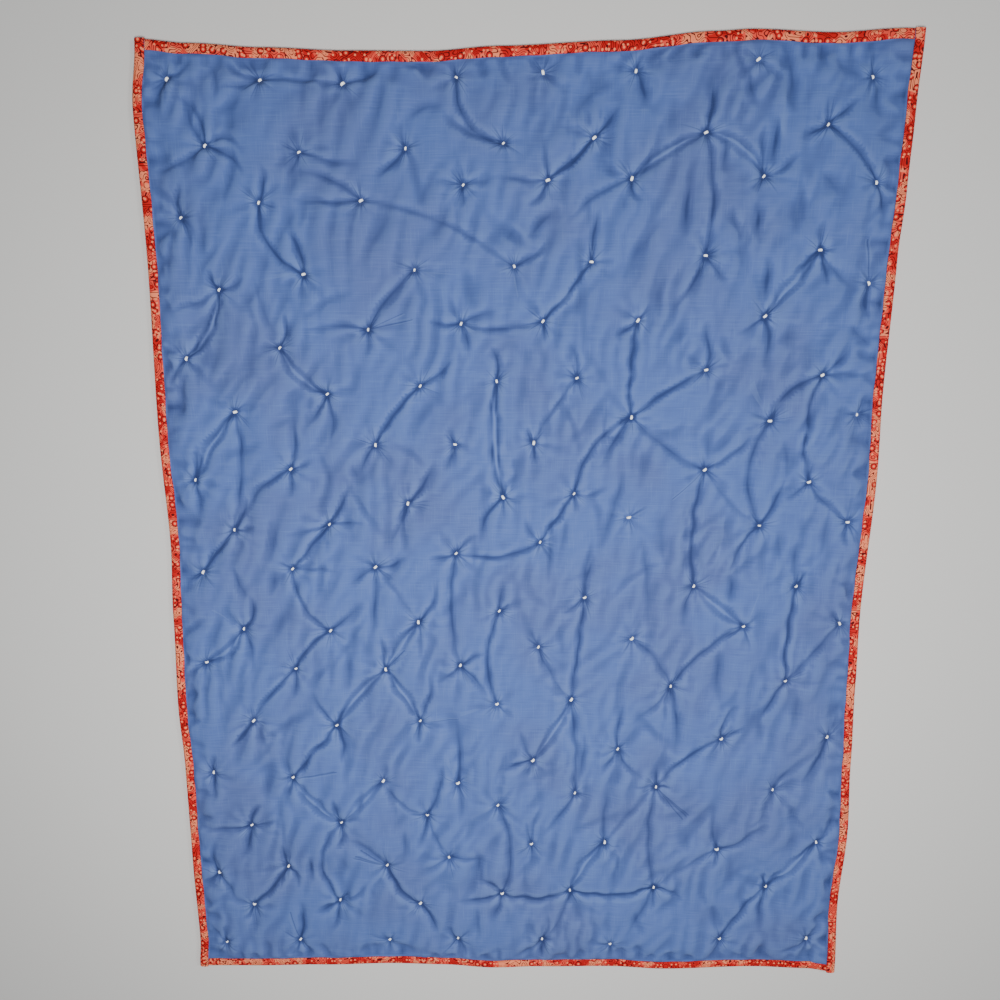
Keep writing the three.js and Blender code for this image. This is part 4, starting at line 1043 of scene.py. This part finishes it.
def tie_threads():
    """Tubes arched over each tie, side by side, their ends sunk into the cloth; turned by a seeded angle."""
    dice = np.random.default_rng(2)
    spots = np.array(list(TIES.values()))
    in_last = [column == LAST_COLUMN for _, column in TIES]
    slants = np.radians(np.where(in_last, LAST_COLUMN_SLANT, TIE_SLANT))
    slants = (slants + dice.normal(0, SLANT_SPREAD, len(spots))).reshape(-1, 1, 1, 1)
    sizes = dice.uniform(*TIE_SIZES, len(spots)).reshape(-1, 1, 1, 1, 1)
    share = np.linspace(-1, 1, STRAND_STEPS)[:, None]
    turn = np.linspace(0, 2 * np.pi, STRAND_SIDES, endpoint=False)
    lanes = (np.linspace(-1, 1, TIE_STRANDS) * STRAND_RADIUS * LANE_SHARE)[:, None, None]
    fat = STRAND_RADIUS * (1 - END_THINNING * share ** 4)
    lift = TIE_ARCH * (1 - END_DIP * share ** 2) - LANE_DROP * np.abs(lanes)
    local = sizes * np.stack(np.broadcast_arrays(
        share * TIE_LENGTH / 2,
        lanes * (1 - LANE_CLOSING * share ** 2) + fat * np.cos(turn),
        lift + fat * np.sin(turn)), -1)
    middle_x, middle_y = spots.T.reshape(2, -1, 1, 1, 1)
    base = face_height(spots[:, 0], spots[:, 1]).reshape(-1, 1, 1, 1)
    points = np.stack([
        middle_x + np.cos(slants) * local[..., 0] - np.sin(slants) * local[..., 1],
        middle_y + np.sin(slants) * local[..., 0] + np.cos(slants) * local[..., 1],
        base + local[..., 2]], -1)
    tubes = points.reshape(-1, STRAND_STEPS, STRAND_SIDES, 3)
    index = np.arange(tubes.size // 3).reshape(tubes.shape[:3])
    ahead = np.roll(index, -1, axis=2)
    skin = np.stack([index[:, :-1], ahead[:, :-1], ahead[:, 1:], index[:, 1:]], -1).reshape(-1, 4).tolist()
    skin += index[:, 0, ::-1].tolist() + index[:, -1].tolist()
    return put_mesh("thread_ties", tubes.reshape(-1, 3), skin)


THREAD_WHITE = srgb(253, 253, 251)
THREAD_SHADE = srgb(250, 251, 252)
THREAD_PAINTED_GLOW = 0.36
THREAD_TWIST = 900.0
THREAD_RELIEF = 0.3 * MM


def cotton_thread():
    """White thread with a fine twist in its relief and shade, and a slight painted glow that makes it
    brighter.
    """
    material, field, shader = new_material("cotton_thread", 0.7)
    place = field.node("ShaderNodeTexCoord", out=3)
    twist = field.noise(place, THREAD_TWIST)
    colour = twist.step(0.4, 0.7).mix(THREAD_WHITE, THREAD_SHADE)
    bump = field.node("ShaderNodeBump", {}, {"Strength": 0.4, "Distance": THREAD_RELIEF, "Height": twist})
    field.tree.links.new(colour.socket, shader.inputs["Base Color"])
    field.tree.links.new(bump.socket, shader.inputs["Normal"])
    # painted glow: the thread emits white light though it is no lamp
    shader.inputs["Emission Color"].default_value = THREAD_WHITE
    shader.inputs["Emission Strength"].default_value = THREAD_PAINTED_GLOW
    return material


ties = tie_threads()
ties.data.materials.append(cotton_thread())
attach(ties, "root")

# The floor, pale and plain, with a soft lamp above the quilt, a weak window
# at its right and the camera high over its top end, as it was photographed.
FLOOR_HALF = 6.0
FLOOR_PALE = srgb(214, 213, 210)
floor_corners = [(x * FLOOR_HALF, y * FLOOR_HALF, 0) for x, y in ((-1, -1), (1, -1), (1, 1), (-1, 1))]
floor_mesh = bpy.data.meshes.new("floor")
floor_mesh.from_pydata(floor_corners, [], [(0, 1, 2, 3)])
floor = bpy.data.objects.new("floor", floor_mesh)
bpy.context.scene.collection.objects.link(floor)
floor_paint, _, floor_shader = new_material("floor_paint", 0.95)
floor_shader.inputs["Base Color"].default_value = FLOOR_PALE
floor.data.materials.append(floor_paint)


def soft_light(name, place, target, size, power):
    """Square area light at a place, aimed at a target."""
    lamp = bpy.data.lights.new(name, "AREA")
    lamp.size = size
    lamp.energy = power
    holder = bpy.data.objects.new(name, lamp)
    holder.location = place
    holder.rotation_euler = (Vector(target) - Vector(place)).to_track_quat("-Z", "Y").to_euler()
    bpy.context.scene.collection.objects.link(holder)


soft_light("window", place=(3.6, 1.1, 3.0), target=(0, 0, 0), size=0.9, power=50)
soft_light("lamp", place=(0.0, -0.05, 1.3), target=(0, -0.05, 0), size=0.5, power=24.5)
world = bpy.data.worlds.new("room")
world.use_nodes = True
world.node_tree.nodes["Background"].inputs["Color"].default_value = (0.92, 0.95, 1.0, 1.0)
world.node_tree.nodes["Background"].inputs["Strength"].default_value = 0.13
bpy.context.scene.world = world

CAMERA_PLACE = Vector((-0.006, 0.281, 1.052)) - Vector(MIDDLE)
CAMERA_TARGET = Vector((-0.026, 0.068, 0.0)) - Vector(MIDDLE)
back = (CAMERA_PLACE - CAMERA_TARGET).normalized()
right = Vector((0, 1, 0)).cross(back).normalized()
lens = bpy.data.cameras.new("camera")
lens.sensor_width = 36
lens.lens = 30.6
lens.clip_start = 0.01
camera = bpy.data.objects.new("camera", lens)
camera.matrix_world = Matrix.LocRotScale(
    CAMERA_PLACE, Matrix((right, back.cross(right), back)).transposed().to_quaternion(), None)
bpy.context.scene.collection.objects.link(camera)
bpy.context.scene.camera = camera
